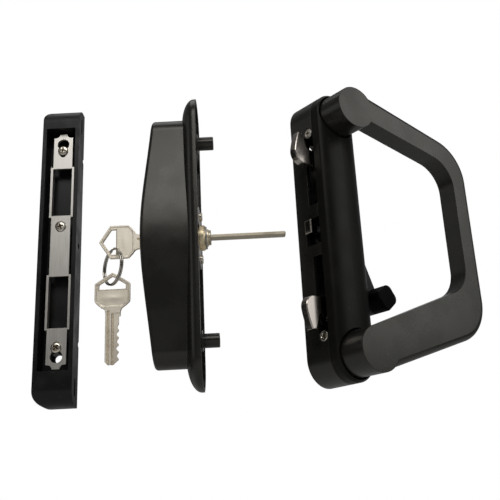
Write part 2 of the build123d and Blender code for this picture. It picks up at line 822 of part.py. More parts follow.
def bar_low_middle(x):
    """Depth of the lower arm's middle line at a reach."""
    root = (bar_low_inner_root + bar_root) / 2
    corner = bar_low_inner_corner + bar_low_thickness / 2
    return root + (corner - root) * x / bar_reach


def handle_screws():
    """Two screws from the back of the case into the D handle's posts."""
    group = []
    for z in (handle_post_z, -handle_post_z):
        seat = (case_floor, 0, z)
        head = rod(seat, (-1, 0, 0), fixing_head_radius, fixing_head_height)
        shank_radius = handle_thread_radius - thread_gap
        group.append(head + rod(seat, (1, 0, 0), shank_radius, handle_screw_length))
    return handle_place * Compound(children=[solid for screw in group for solid in screw.solids()])


def cover_screws():
    """Two Phillips screws that hold the cover's lugs to the case wall."""
    group = []
    for sign in (1, -1):
        face = (cover_screw_p, -case_radius - 0.1, sign * cover_screw_z)
        head = rod(face, (0, 1, 0), cover_screw_head, cover_screw_head_height)
        shank_radius = cover_screw_radius - thread_gap
        group.append(head + rod(face, (0, 1, 0), shank_radius, cover_screw_length))
    return handle_place * Compound(children=[solid for screw in group for solid in screw.solids()])


def hook_outline():
    """Outline of the upper hook about its pivot, drawn as (S, Z) with the nose towards -S."""
    reach = hook_reach
    low = hook_band_low
    high = hook_band_high
    tip = hook_tip_high
    barb = -reach + 3.4
    barb_end = (barb + 0.6 * hook_tip_width, tip - 0.6)
    throat = (-reach + 4.2 + hook_tip_width, high + 1)
    shoulder = (-reach + 6.0 + hook_tip_width, high)
    with BuildSketch() as sketch:
        with BuildLine():
            Line((0, low - 1), (-reach + 7, low))
            ThreePointArc((-reach + 7, low), (-reach + 1.6, low + 2.4), (-reach, low + 8))
            ThreePointArc((-reach, low + 8), (-reach + 0.9, high + 2), (barb, tip))
            Polyline([(barb, tip), barb_end, throat, shoulder, (0, high - 0.6), (0, low - 1)])
        make_face()
    return sketch.sketch + Circle(hook_eye_radius)


def hook(sign):
    """One hook with its drive pin; the lower one mirrors the upper."""
    plane = door_plane.offset(hook_plane)
    plate = extrude(plane * hook_outline(), hook_thickness)
    nose = plate.edges().filter_by(lambda e: e.center().Y < -hook_reach + 3 and e.length > 2)
    plate = chamfer(nose, 0.5)
    pin_start = slide_plane - 0.2
    pin_length = hook_plane - pin_start + 0.8
    pin = rod((pin_start, -drive_run, drive_rise), (1, 0, 0), drive_pin_radius, pin_length)
    lug = rod((hook_plane, -drive_run, drive_rise), (1, 0, 0), drive_pin_radius + 1.2, hook_thickness)
    body = plate + pin + lug
    eye = hook_pin_radius + running_gap / 2
    body -= rod((hook_plane - 1, 0, 0), (1, 0, 0), eye, hook_thickness + 2)
    body = Pos(0, hook_pivot_s, hook_pivot_z) * body
    if sign < 0:
        body = mirror(body, about=Plane.XY)
    return handle_place * body


def hook_pivots():
    """Two pivot pins with spacer shoulders, staked in the case floor."""
    group = []
    spacer = slide_plane + slide_thickness + 0.2
    hook_front = hook_plane + hook_thickness
    shoulder = hook_pin_radius + 1.0
    for sign in (1, -1):
        z = sign * hook_pivot_z
        pin = rod((0.2, hook_pivot_s, z), (1, 0, 0), hook_pin_radius - 0.01, hook_front + 0.8)
        pin += rod((spacer, hook_pivot_s, z), (1, 0, 0), shoulder, hook_plane - running_gap - spacer)
        pin += rod((hook_front + running_gap, hook_pivot_s, z), (1, 0, 0), shoulder, 1.0)
        group.append(pin)
    return handle_place * Compound(children=[solid for pin in group for solid in pin.solids()])


def hub():
    """The turning hub: bearing, tail slot, two-pin flange and square drive for the snib."""
    flange = Circle(hub_radius)
    for sign in (1, -1):
        s = sign * hub_pin_run
        z = -sign * drive_rise
        arm = Pos(hub_pin_arm / 2, 0) * Rectangle(hub_pin_arm, 5.0)
        flange += Rot(0, 0, math.degrees(math.atan2(z, s))) * arm
        flange += Pos(s, z) * Circle(drive_pin_radius + 1.4)
    body = extrude(door_plane.offset(hub_flange_plane) * flange, hub_flange_thickness)
    body += rod((0.3, 0, 0), (1, 0, 0), hub_bearing_radius, hub_flange_plane)
    for sign in (1, -1):
        start = (slide_plane - 0.2, sign * hub_pin_run, -sign * drive_rise)
        body += rod(start, (1, 0, 0), drive_pin_radius, hub_flange_plane - slide_plane + 0.6)
    square = hub_square / 2
    body += block((lever_plane - 0.8, -square, -square), (hub_top, square, square))
    half_y = tail_width / 2 + 0.25
    half_z = tail_thickness / 2 + 0.25
    body -= block((-1, -half_y, -half_z), (hub_top - 2, half_y, half_z))
    return handle_place * body


def lever_arm_outline():
    """Plan of the cranked snib arm, from the hub down to the knob, drawn as (S, Z)."""
    path = Spline(
        (0, 0), (14, -5.5), (21, -17), (lever_knob_s, lever_knob_z),
        tangents=((1, -0.1), (0.42, -0.9)),
    )
    return trace(path, line_width=2 * lever_half_width)


def snib_lever():
    """The snib lever: thin where it crosses the case wall, thicker outside, with a knob peg."""
    arm = lever_arm_outline()
    plane = door_plane.offset(lever_plane)
    depth = lever_front - lever_plane
    thin = extrude(plane * arm, lever_thickness)
    boss = rod((lever_plane, 0, 0), (1, 0, 0), hub_radius + 0.4, lever_thickness)
    thick = extrude(plane * arm, depth)
    thick -= rod((lever_plane - 1, 0, 0), (1, 0, 0), lever_thick_from, 20)
    pad = extrude(plane * knob_plan(0), depth)
    peg_plan = door_plane.offset(lever_front - 0.1) * knob_plan(-knob_wall - 0.05)
    peg = extrude(peg_plan, knob_front - lever_front - knob_wall)
    body = thin + boss + thick + pad + peg
    square = hub_square / 2 + running_gap / 2
    body -= block((lever_plane - 1, -square, -square), (hub_top + 1, square, square))
    return handle_place * body


def knob_plan(grow):
    """Plan of the snib knob, turned to lie across its arm."""
    corner = max(knob_corner + grow, 0.5)
    face = RectangleRounded(knob_length + 2 * grow, knob_width + 2 * grow, corner)
    return Pos(lever_knob_s, lever_knob_z) * Rot(0, 0, lever_angle) * face


def snib_knob():
    """The moulded cap on the snib lever's end."""
    body = extrude(door_plane.offset(lever_front) * knob_plan(0), knob_front - lever_front)
    top = body.faces().sort_by(Axis.X)[-1]
    body = fillet(top.edges(), 1.2)
    hollow = door_plane.offset(lever_front - 1) * knob_plan(-knob_wall)
    body -= extrude(hollow, knob_front - lever_front + 1 - knob_wall)
    return handle_place * body


def pin_slot(s_mid, z, half_run):
    """A sideways slot for a drive pin, in the slide's own plane."""
    length = 2 * (half_run + drive_pin_radius + slot_play)
    return Pos(s_mid, z) * SlotOverall(length, 2 * (drive_pin_radius + slot_play))


def slide_edge():
    """Side of each slide that passes close to the hook pivots."""
    return hook_pivot_s - hook_pin_radius - 0.3


def upper_slide():
    """The slide that the hub's near-side pin pulls down to stow the upper hook."""
    pin_run = (hub_pin_arm - hub_pin_run) / 2
    hub_mid = -(hub_pin_arm + hub_pin_run) / 2
    hook_run = (drive_pin_arm - drive_run) / 2
    hook_mid = hook_pivot_s - (drive_pin_arm + drive_run) / 2
    play = drive_pin_radius + slot_play
    left = hub_mid - pin_run - play - 0.7
    low = drive_rise - play - 1.6
    high = hook_pivot_z + drive_rise + play + 1.6
    bearing_side = -hub_bearing_radius - 0.4
    shoulder = 2 * drive_rise + hub_bearing_radius + 1
    plate = block((0, left, low), (slide_thickness, bearing_side, high))
    plate += block((0, left, shoulder), (slide_thickness, slide_edge(), high))
    plate = fillet(plate.edges().filter_by(Axis.X), 0.6)
    plate = Pos(slide_plane, 0, 0) * plate
    cut = door_plane.offset(slide_plane - 1)
    plate -= extrude(cut * pin_slot(hub_mid, drive_rise, pin_run), slide_thickness + 2)
    plate -= extrude(cut * pin_slot(hook_mid, hook_pivot_z + drive_rise, hook_run), slide_thickness + 2)
    return handle_place * plate


def lower_slide():
    """The stepped slide that the hub's far-side pin lifts to stow the lower hook."""
    pin_run = (hub_pin_arm - hub_pin_run) / 2
    hub_mid = (hub_pin_arm + hub_pin_run) / 2
    hook_run = (drive_pin_arm - drive_run) / 2
    hook_mid = hook_pivot_s - (drive_pin_arm + drive_run) / 2
    play = drive_pin_radius + slot_play
    top = -drive_rise + play + 1.6
    low = -hook_pivot_z - drive_rise - play - 1.6
    step = -drive_rise - slide_step_drop
    right = hub_mid + pin_run + play + 1.0
    left = hook_mid - hook_run - play - 1.3
    plate = block((0, hub_mid - pin_run - play - 1.2, step), (slide_thickness, right, top))
    plate += block((0, left, step - 6), (slide_thickness, right, step))
    plate += block((0, left, low), (slide_thickness, slide_edge(), step))
    plate = fillet(plate.edges().filter_by(Axis.X), 0.6)
    plate = Pos(slide_plane, 0, 0) * plate
    cut = door_plane.offset(slide_plane - 1)
    plate -= extrude(cut * pin_slot(hub_mid, -drive_rise, pin_run), slide_thickness + 2)
    plate -= extrude(cut * pin_slot(hook_mid, -hook_pivot_z - drive_rise, hook_run), slide_thickness + 2)
    return handle_place * plate


def anti_slam_plunger():
    """The sprung trigger that stops the hooks being thrown with the door open."""
    low = plunger_z - plunger_height / 2
    face = -case_radius - plunger_proud
    inner = -case_radius + wall + 0.1
    front = plunger_plane + plunger_width
    high = low + plunger_height
    body = block((plunger_plane, face, low), (front, inner, high))
    nose = body.faces().sort_by(Axis.Y)[0].edges()
    body = fillet(nose, 1.0)
    body += block((plunger_plane, inner, low), (front, inner + plunger_flange, high + 1.6))
    return handle_place * body


def plunger_spring():
    """The small coil spring behind the plunger."""
    start = -case_radius + wall + 0.1 + plunger_flange + spring_wire + 0.02
    end = plunger_stop - spring_wire - 0.02
    length = end - start
    path = Helix(length / spring_turns, length, spring_radius)
    section = Plane(origin=path @ 0, z_dir=path % 0) * Circle(spring_wire)
    coil = sweep(section, path=path, is_frenet=True)
    centre = (plunger_plane + plunger_width / 2, start, plunger_z)
    return handle_place * (Plane(origin=centre, z_dir=(0, 1, 0)).location * coil)


nodes = {
    "keeper_housing": keeper_housing,
    "strike_insert": strike_insert,
    "strike_top_screw": lambda: strike_screw(strike_screw_heights()[0], 0),
    "strike_bottom_screw": lambda: strike_screw(strike_screw_heights()[1], 0),
    "strike_centre_screw": lambda: strike_screw(
        strike_screw_heights()[2], strike_head_height - centre_screw_proud
    ),
    "pull_body": pull_body,
    "cylinder_body": cylinder_body,
    "cylinder_plug": cylinder_plug,
    "wafer_tumblers": wafer_tumblers,
    "plug_clip": plug_clip,
    "tailpiece": tailpiece,
    "retaining_plate": retaining_plate,
    "retaining_screws": retaining_screws,
    "inserted_key": inserted_key,
    "key_ring": key_ring,
    "spare_key": spare_key,
    "lock_case": lock_case,
    "front_cover": front_cover,
    "d_handle": d_handle,
    "handle_screws": handle_screws,
    "cover_screws": cover_screws,
    "upper_hook": lambda: hook(1),
    "lower_hook": lambda: hook(-1),
    "hook_pivots": hook_pivots,
    "hub": hub,
    "snib_lever": snib_lever,
    "snib_knob": snib_knob,
    "upper_slide": upper_slide,
    "lower_slide": lower_slide,
    "anti_slam_plunger": anti_slam_plunger,
    "plunger_spring": plunger_spring,
}

for name, make in nodes.items():
    save(make(), name)
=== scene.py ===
"""Looks of a sliding patio door handle set: keeper, outside pull with keys, inside hook latch."""

import json
import logging
import math
from collections.abc import Sequence
from dataclasses import dataclass, field, replace
from enum import Enum
from typing import Any

import bmesh
import bpy
import numpy as np
from mathutils import Matrix, Vector


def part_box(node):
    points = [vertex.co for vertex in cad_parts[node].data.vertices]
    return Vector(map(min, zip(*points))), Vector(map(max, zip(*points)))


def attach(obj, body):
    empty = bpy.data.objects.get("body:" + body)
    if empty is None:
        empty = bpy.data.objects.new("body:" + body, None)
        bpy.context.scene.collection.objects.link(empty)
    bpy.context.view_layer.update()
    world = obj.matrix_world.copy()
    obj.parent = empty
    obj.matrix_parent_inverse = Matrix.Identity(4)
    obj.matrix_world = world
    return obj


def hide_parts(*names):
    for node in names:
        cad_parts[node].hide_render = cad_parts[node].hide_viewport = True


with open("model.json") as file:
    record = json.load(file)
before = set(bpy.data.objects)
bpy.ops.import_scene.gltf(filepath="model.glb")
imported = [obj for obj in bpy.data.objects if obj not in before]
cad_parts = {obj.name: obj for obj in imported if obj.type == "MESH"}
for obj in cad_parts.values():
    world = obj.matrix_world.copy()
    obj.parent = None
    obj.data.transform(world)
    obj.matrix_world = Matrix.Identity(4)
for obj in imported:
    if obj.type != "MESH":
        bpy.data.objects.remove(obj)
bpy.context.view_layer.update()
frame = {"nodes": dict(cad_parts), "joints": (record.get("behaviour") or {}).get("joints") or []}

log = logging.getLogger("handle_set")
Faces = list[Sequence[int]]
MM = 0.001
FULL_TURN = 2 * math.pi
# Edges sharper than this many degrees stay sharp, on turned and milled pieces and on wire.
TURNED_EDGE = 32.0
WIRE_EDGE = 60.0
# Places of a Mix node's sockets when it mixes colours.
MIX_FACTOR, MIX_FIRST, MIX_SECOND, MIX_RESULT = 0, 6, 7, 2


class Finish(Enum):
    """The surface finishes of the set; the cover's and the screw recesses' carry painted shade."""

    POWDER_COAT = "powder_coat"
    CAST_SHADE = "cast_shade"
    COVER_PAINTED_SHADE = "cover_painted_shade"
    STRIKE_STEEL = "strike_steel"
    SCREW_PLATE = "screw_plate"
    SCREW_RECESS_PAINTED_SHADE = "screw_recess_painted_shade"
    CYLINDER_BRASS = "cylinder_brass"
    PLUG_BRASS = "plug_brass"
    TAIL_BRASS = "tail_brass"
    KEY_NICKEL = "key_nickel"
    RING_STEEL = "ring_steel"
    HOOK_CHROME = "hook_chrome"
    BARE_STEEL = "bare_steel"
    KNOB_PLASTIC = "knob_plastic"


class Tree:
    """A short way to add and join nodes in a material or a node group."""

    def __init__(self, nodes: Any, links: Any) -> None:
        """Keep the collections that nodes and links go into."""
        self.nodes = nodes
        self.links = links

    def add(self, kind: str, **settings: Any) -> Any:
        """Add a node.

        Args:
            kind: the node's type name.
            settings: attributes set on the node; those that name an input set its value.

        Returns:
            The new node.
        """
        node = self.nodes.new(kind)
        for name, value in settings.items():
            if hasattr(node, name):
                setattr(node, name, value)
            else:
                node.inputs[name.replace("_", " ")].default_value = value
        return node

    def join(self, source: Any, target: Any) -> None:
        """Link an output socket to an input socket."""
        self.links.new(source, target)

    def ramp(self, source: Any, low: float, high: float) -> Any:
        """Map a value from low..high to 0..1 with soft ends.

        Args:
            source: the value's output socket.
            low: the value that becomes 0.
            high: the value that becomes 1.

        Returns:
            The mapped value's output socket.
        """
        node = self.add("ShaderNodeMapRange", interpolation_type="SMOOTHSTEP")
        node.inputs["From Min"].default_value = low
        node.inputs["From Max"].default_value = high
        self.join(source, node.inputs["Value"])
        return node.outputs["Result"]


class Effects:
    """Shared surface effects, each a node group built once: grain, brushing and rub marks."""

    def __init__(self) -> None:
        """Build every group."""
        self.grain = self._grain()
        self.brushing = self._brushing()
        self.rub = self._rub()

    @staticmethod
    def _group(
        name: str, inputs: dict[str, float], outputs: list[str]
    ) -> tuple[Any, Tree, Any, Any]:
        """Start a group with float inputs and outputs.

        Args:
            name: the group's name.
            inputs: input names with their default values.
            outputs: output names.

        Returns:
            The group, its tree, its input node and its output node.
        """
        group = bpy.data.node_groups.new(name, "ShaderNodeTree")
        number = "NodeSocketFloat"
        for label, value in inputs.items():
            socket = group.interface.new_socket(label, in_out="INPUT", socket_type=number)
            socket.default_value = value
        for label in outputs:
            group.interface.new_socket(label, in_out="OUTPUT", socket_type=number)
        tree = Tree(group.nodes, group.links)
        return group, tree, tree.add("NodeGroupInput"), tree.add("NodeGroupOutput")

    def _grain(self) -> Any:
        """Fine orange-peel grain, and slow patches of tone: a small noise and a large one.

        Returns:
            The group, which puts out the grain's height and the patches' mask.
        """
        sizes = {"Scale": 2500.0, "Patch Scale": 60.0}
        group, tree, given, out = self._group("fine_grain", sizes, ["Height", "Patches"])
        place = tree.add("ShaderNodeTexCoord")
        fine = tree.add("ShaderNodeTexNoise", Detail=2.0, Roughness=0.55)
        patch = tree.add("ShaderNodeTexNoise", Detail=3.0, Roughness=0.5)
        tree.join(place.outputs["Object"], fine.inputs["Vector"])
        tree.join(place.outputs["Object"], patch.inputs["Vector"])
        tree.join(given.outputs["Scale"], fine.inputs["Scale"])
        tree.join(given.outputs["Patch Scale"], patch.inputs["Scale"])
        tree.join(fine.outputs["Fac"], out.inputs["Height"])
        tree.join(tree.ramp(patch.outputs["Fac"], low=0.35, high=0.65), out.inputs["Patches"])
        return group

    def _brushing(self) -> Any:
        """Long fine lines along Z: a noise squeezed across the lines and stretched along them.

        Returns:
            The group, which puts out the lines' height and their tone.
        """
        sizes = {"Across": 5200.0, "Along": 70.0}
        group, tree, given, out = self._group("brushing", sizes, ["Height", "Tone"])
        place = tree.add("ShaderNodeTexCoord")
        spread = tree.add("ShaderNodeCombineXYZ")
        tree.join(given.outputs["Across"], spread.inputs["X"])
        tree.join(given.outputs["Across"], spread.inputs["Y"])
        tree.join(given.outputs["Along"], spread.inputs["Z"])
        scaled = tree.add("ShaderNodeVectorMath", operation="MULTIPLY")
        tree.join(place.outputs["Object"], scaled.inputs[0])
        tree.join(spread.outputs["Vector"], scaled.inputs[1])
        lines = tree.add("ShaderNodeTexNoise", Scale=1.0, Detail=3.0, Roughness=0.6)
        tree.join(scaled.outputs["Vector"], lines.inputs["Vector"])
        tree.join(lines.outputs["Fac"], out.inputs["Height"])
        tree.join(tree.ramp(lines.outputs["Fac"], low=0.3, high=0.7), out.inputs["Tone"])
        return group

    def _rub(self) -> Any:
        """Small rubbed and dusty marks: a fine noise cut to specks, times a slow one.

        Returns:
            The group, which puts out the marks' mask.
        """
        sizes = {"Scale": 400.0, "Amount": 0.5}
        group, tree, given, out = self._group("rub_marks", sizes, ["Mask"])
        place = tree.add("ShaderNodeTexCoord")
        small = tree.add("ShaderNodeTexNoise", Detail=6.0, Roughness=0.7)
        large = tree.add("ShaderNodeTexNoise", Scale=45.0, Detail=2.0)
        tree.join(place.outputs["Object"], small.inputs["Vector"])
        tree.join(place.outputs["Object"], large.inputs["Vector"])
        tree.join(given.outputs["Scale"], small.inputs["Scale"])
        both = tree.add("ShaderNodeMath", operation="MULTIPLY")
        tree.join(tree.ramp(small.outputs["Fac"], low=0.58, high=0.74), both.inputs[0])
        tree.join(tree.ramp(large.outputs["Fac"], low=0.42, high=0.62), both.inputs[1])
        scaled = tree.add("ShaderNodeMath", operation="MULTIPLY")
        tree.join(both.outputs["Value"], scaled.inputs[0])
        tree.join(given.outputs["Amount"], scaled.inputs[1])
        tree.join(scaled.outputs["Value"], out.inputs["Mask"])
        return group


@dataclass(frozen=True)
class Surface:
    """One finish: its two tones, gloss, relief and rubbed marks. Lengths are millimetres."""

    colour: tuple[float, float, float]
    second: tuple[float, float, float]
    metallic: float = 0.0
    roughness: float = 0.4
    roughness_spread: float = 0.08
    grain_scale: float = 2500.0
    grain_height: float = 0.004
    brushed: bool = False
    brush_height: float = 0.0
    rub_amount: float = 0.4
    rub_colour: tuple[float, float, float] = (0.06, 0.06, 0.058)
    specular: float = 0.5
    specular_tint: tuple[float, float, float] = (1.0, 1.0, 1.0)
    edge_round: float = 0.35
    edge_samples: int = 6
    grain_strength: float = 0.5
    brush_strength: float = 0.6
    anisotropy: float = 0.0

    def build(self, name: str, effects: Effects) -> bpy.types.Material:
        """Build the material.

        Args:
            name: the material's name.
            effects: the shared node groups.

        Returns:
            The finished material.
        """
        material = bpy.data.materials.new(name)
        material.use_nodes = True
        tree = Tree(material.node_tree.nodes, material.node_tree.links)
        shader = material.node_tree.nodes["Principled BSDF"]
        shader.inputs["Metallic"].default_value = self.metallic
        shader.inputs["Specular IOR Level"].default_value = self.specular
        shader.inputs["Specular Tint"].default_value = (*self.specular_tint, 1.0)
        shader.inputs["Anisotropic"].default_value = self.anisotropy
        grain = self._effect(tree, effects.grain, {"Scale": self.grain_scale})
        tone = grain.outputs["Patches"]
        if self.brushed:
            brushing = self._effect(tree, effects.brushing, {})
            tone = brushing.outputs["Tone"]
        rub = self._effect(tree, effects.rub, {"Amount": self.rub_amount})
        base = self._mix(tree, tone, self.colour, self.second)
        marked = self._mix(tree, rub.outputs["Mask"], base, self.rub_colour)
        tree.join(marked, shader.inputs["Base Color"])
        rough = tree.add("ShaderNodeMapRange")
        rough.inputs["To Min"].default_value = self.roughness - self.roughness_spread
        rough.inputs["To Max"].default_value = self.roughness + self.roughness_spread
        tree.join(tone, rough.inputs["Value"])
        tree.join(rough.outputs["Result"], shader.inputs["Roughness"])
        soft = tree.add("ShaderNodeBevel", samples=self.edge_samples, Radius=self.edge_round * MM)
        bump = tree.add(
            "ShaderNodeBump", Strength=self.grain_strength, Distance=self.grain_height * MM
        )
        tree.join(grain.outputs["Height"], bump.inputs["Height"])
        tree.join(soft.outputs["Normal"], bump.inputs["Normal"])
        normal = bump.outputs["Normal"]
        if self.brushed:
            lines = tree.add(
                "ShaderNodeBump", Strength=self.brush_strength, Distance=self.brush_height * MM
            )
            tree.join(brushing.outputs["Height"], lines.inputs["Height"])
            tree.join(normal, lines.inputs["Normal"])
            normal = lines.outputs["Normal"]
        tree.join(normal, shader.inputs["Normal"])
        return material

    @staticmethod
    def _effect(tree: Tree, group: Any, values: dict[str, float]) -> Any:
        """Place a shared group in the material with this surface's own values.

        Args:
            tree: the material's tree.
            group: the shared node group.
            values: input names with this surface's values.

        Returns:
            The group's node in the material.
        """
        node = tree.add("ShaderNodeGroup")
        node.node_tree = group
        for name, value in values.items():
            node.inputs[name].default_value = value
        return node

    @staticmethod
    def _mix(tree: Tree, mask: Any, first: Any, second: tuple[float, float, float]) -> Any:
        """Mix a colour, or a colour socket, with a second colour by a mask.

        Args:
            tree: the material's tree.
            mask: output socket that is 0 at the first colour and 1 at the second.
            first: a colour, or an output socket that gives one.
            second: the other colour.

        Returns:
            The mixed colour's output socket.
        """
        node = tree.add("ShaderNodeMix", data_type="RGBA")
        if isinstance(first, tuple):
            node.inputs[MIX_FIRST].default_value = (*first, 1.0)
        else:
            tree.join(first, node.inputs[MIX_FIRST])
        node.inputs[MIX_SECOND].default_value = (*second, 1.0)
        tree.join(mask, node.inputs[MIX_FACTOR])
        return node.outputs[MIX_RESULT]


class Palette:
    """Every finish of the set, built once and handed out by name."""

    surfaces: dict[Finish, Surface] = {
        Finish.POWDER_COAT: Surface(
            colour=(0.0080, 0.0076, 0.0066), second=(0.0108, 0.0103, 0.0090), roughness=0.28,
            roughness_spread=0.03, grain_height=0.012, rub_amount=0.25, edge_round=0.5,
            specular_tint=(1.0, 0.97, 0.88),
        ),
        Finish.CAST_SHADE: Surface(
            colour=(0.0045, 0.0043, 0.0038), second=(0.0070, 0.0066, 0.0060), roughness=0.38,
            specular=0.3, grain_height=0.03, grain_scale=1400.0, rub_amount=0.5, edge_round=0.3,
        ),
        # Painted shade: the cover's black coat, made darker and less specular than the powder coat
        # so that its arched front shows dimmer light.
        Finish.COVER_PAINTED_SHADE: Surface(
            colour=(0.0050, 0.0048, 0.0042), second=(0.0068, 0.0065, 0.0057), roughness=0.40,
            roughness_spread=0.03, grain_height=0.015, rub_amount=0.3, specular=0.14,
            specular_tint=(1.0, 0.97, 0.88),
        ),
        Finish.STRIKE_STEEL: Surface(
            colour=(0.60, 0.57, 0.52), second=(0.74, 0.71, 0.66), metallic=1.0, roughness=0.42,
            roughness_spread=0.06, brushed=True, brush_height=0.004, rub_amount=0.25,
            rub_colour=(0.42, 0.39, 0.34), edge_round=0.15, anisotropy=0.35,
        ),
        Finish.SCREW_PLATE: Surface(
            colour=(0.66, 0.60, 0.50), second=(0.76, 0.72, 0.64), metallic=1.0, roughness=0.28,
            rub_amount=0.5, rub_colour=(0.30, 0.25, 0.18), edge_round=0.1,
        ),
        # Painted shade in the screws' cross recesses: their own brassy tone, darkened to stand in
        # for the shade inside the cross.
        Finish.SCREW_RECESS_PAINTED_SHADE: Surface(
            colour=(0.10, 0.075, 0.045), second=(0.17, 0.13, 0.085), metallic=1.0, roughness=0.5,
            rub_amount=0.3, rub_colour=(0.05, 0.035, 0.02), edge_round=0.05,
        ),
        Finish.CYLINDER_BRASS: Surface(
            colour=(0.86, 0.70, 0.42), second=(0.94, 0.80, 0.54), metallic=1.0, roughness=0.34,
            rub_amount=0.4, rub_colour=(0.40, 0.26, 0.09), edge_round=0.15,
        ),
        Finish.PLUG_BRASS: Surface(
            colour=(0.80, 0.70, 0.48), second=(0.88, 0.78, 0.58), metallic=1.0, roughness=0.34,
            rub_amount=0.4, rub_colour=(0.36, 0.28, 0.14), edge_round=0.12,
        ),
        Finish.TAIL_BRASS: Surface(
            colour=(0.45, 0.395, 0.30), second=(0.53, 0.47, 0.36), metallic=1.0, roughness=0.36,
            rub_amount=0.4, rub_colour=(0.27, 0.22, 0.15), edge_round=0.15,
        ),
        Finish.KEY_NICKEL: Surface(
            colour=(0.86, 0.78, 0.64), second=(0.93, 0.86, 0.73), metallic=1.0, roughness=0.48,
            roughness_spread=0.06, rub_amount=0.35, rub_colour=(0.52, 0.46, 0.37), edge_round=0.25,
        ),
        Finish.RING_STEEL: Surface(
            colour=(0.50, 0.47, 0.42), second=(0.62, 0.59, 0.53), metallic=1.0, roughness=0.24,
            rub_amount=0.5, rub_colour=(0.22, 0.19, 0.15), edge_round=0.1,
        ),
        Finish.HOOK_CHROME: Surface(
            colour=(0.36, 0.325, 0.29), second=(0.50, 0.46, 0.42), metallic=1.0, roughness=0.2,
            roughness_spread=0.05, grain_scale=380.0, grain_height=0.02, rub_amount=0.5,
            rub_colour=(0.14, 0.12, 0.10), edge_round=0.4,
        ),
        Finish.BARE_STEEL: Surface(
            colour=(0.34, 0.33, 0.31), second=(0.44, 0.43, 0.41), metallic=1.0, roughness=0.38,
            rub_amount=0.5, rub_colour=(0.18, 0.16, 0.14), edge_round=0.15,
        ),
        Finish.KNOB_PLASTIC: Surface(
            colour=(0.0016, 0.0016, 0.0015), second=(0.0026, 0.0026, 0.0025), roughness=0.42,
            specular=0.05, grain_height=0.02, grain_scale=1800.0, rub_amount=0.2, edge_round=0.4,
        ),
    }

    def __init__(self, effects: Effects) -> None:
        """Build every material from its surface."""
        self._made = {
            finish: surface.build(finish.value, effects)
            for finish, surface in self.surfaces.items()
        }

    def of(self, finish: Finish) -> bpy.types.Material:
        """The material of a finish."""
        return self._made[finish]

    def dress(self, piece: bpy.types.Object, finish: Finish) -> None:
        """Give every slot of a piece one finish.

        Args:
            piece: the mesh object.
            finish: the finish that it gets.
        """
        material = self.of(finish)
        if not piece.material_slots:
            piece.data.materials.append(material)
        for slot in piece.material_slots:
            slot.material = material

    def dress_nodes(self, finishes: dict[str, Finish]) -> None:
        """Give each named node of the frame its finish."""
        for node, finish in finishes.items():
            self.dress(frame["nodes"][node], finish)

    def dress_parts(
        self, piece: bpy.types.Object, main: Finish, other: Finish, where: np.ndarray
    ) -> None:
        """Give a piece two finishes.

        Args:
            piece: the mesh object.
            main: the finish of most faces.
            other: the finish of the chosen faces.
            where: one truth value for each face.
        """
        piece.data.materials.append(self.of(main))
        piece.data.materials.append(self.of(other))
        piece.data.polygons.foreach_set("material_index", where.astype(np.int32))
        piece.data.update()


def mesh_piece(
    name: str, points: np.ndarray, faces: Faces, body: str, smooth_angle: float
) -> bpy.types.Object:
    """Make a mesh object from arrays and let it ride on a body.

    Args:
        name: the piece's name.
        points: its vertices, n by 3, in metres in the set's frame.
        faces: its faces, each as the indices of its vertices.
        body: the body that carries it.
        smooth_angle: edges sharper than this many degrees stay sharp.

    Returns:
        The new object.
    """
    mesh = bpy.data.meshes.new(name)
    mesh.from_pydata(points.tolist(), [], faces)
    mesh.validate()
    mesh.shade_smooth()
    mesh.set_sharp_from_angle(angle=math.radians(smooth_angle))
    piece = bpy.data.objects.new(name, mesh)
    bpy.context.scene.collection.objects.link(piece)
    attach(piece, body)
    log.info("%s: %d faces", name, len(mesh.polygons))
    return piece


def ring_faces(rings: int, around: int) -> Faces:
    """Quads between closed rings of points, ring after ring.

    Args:
        rings: how many rings.
        around: how many points in each.

    Returns:
        The faces, each as the indices of its vertices.
    """
    first = np.arange(rings - 1)[:, None] * around
    step = np.arange(around)[None, :]
    after = (step + 1) % around
    near, far = (first + step, first + after), (first + around + after, first + around + step)
    return np.stack([*near, *far], -1).reshape(-1, 4).tolist()


def merge_surfaces(surfaces: Sequence[tuple[np.ndarray, Faces]]) -> tuple[np.ndarray, Faces]:
    """Put several surfaces into one mesh.

    Args:
        surfaces: the points and faces of each.

    Returns:
        All points, and all faces counted on from the points before them.
    """
    faces: Faces = []
    count = 0
    for points, made in surfaces:
        faces += [[index + count for index in face] for face in made]
        count += len(points)
    return np.vstack([points for points, _ in surfaces]), faces


def face_outwards(piece: bpy.types.Object) -> None:
    """Turn every face of a closed mesh outwards.

    Args:
        piece: the mesh object.
    """
    work = bmesh.new()
    work.from_mesh(piece.data)
    bmesh.ops.recalc_face_normals(work, faces=work.faces)
    work.to_mesh(piece.data)
    work.free()


def soft_step(value: np.ndarray, width: float) -> np.ndarray:
    """Rise from 0 to 1 as a value goes from minus to plus half a width: t squared times 3 - 2t."""
    t = np.clip(value / width + 0.5, 0, 1)
    return t * t * (3 - 2 * t)


@dataclass(frozen=True)
class Milling:
    """One cut milled along a side of the blade, between two heights and past its start along X.

    Its floor is the half thickness that it leaves.
    """

    high: float
    low: float
    floor: float
    start: float


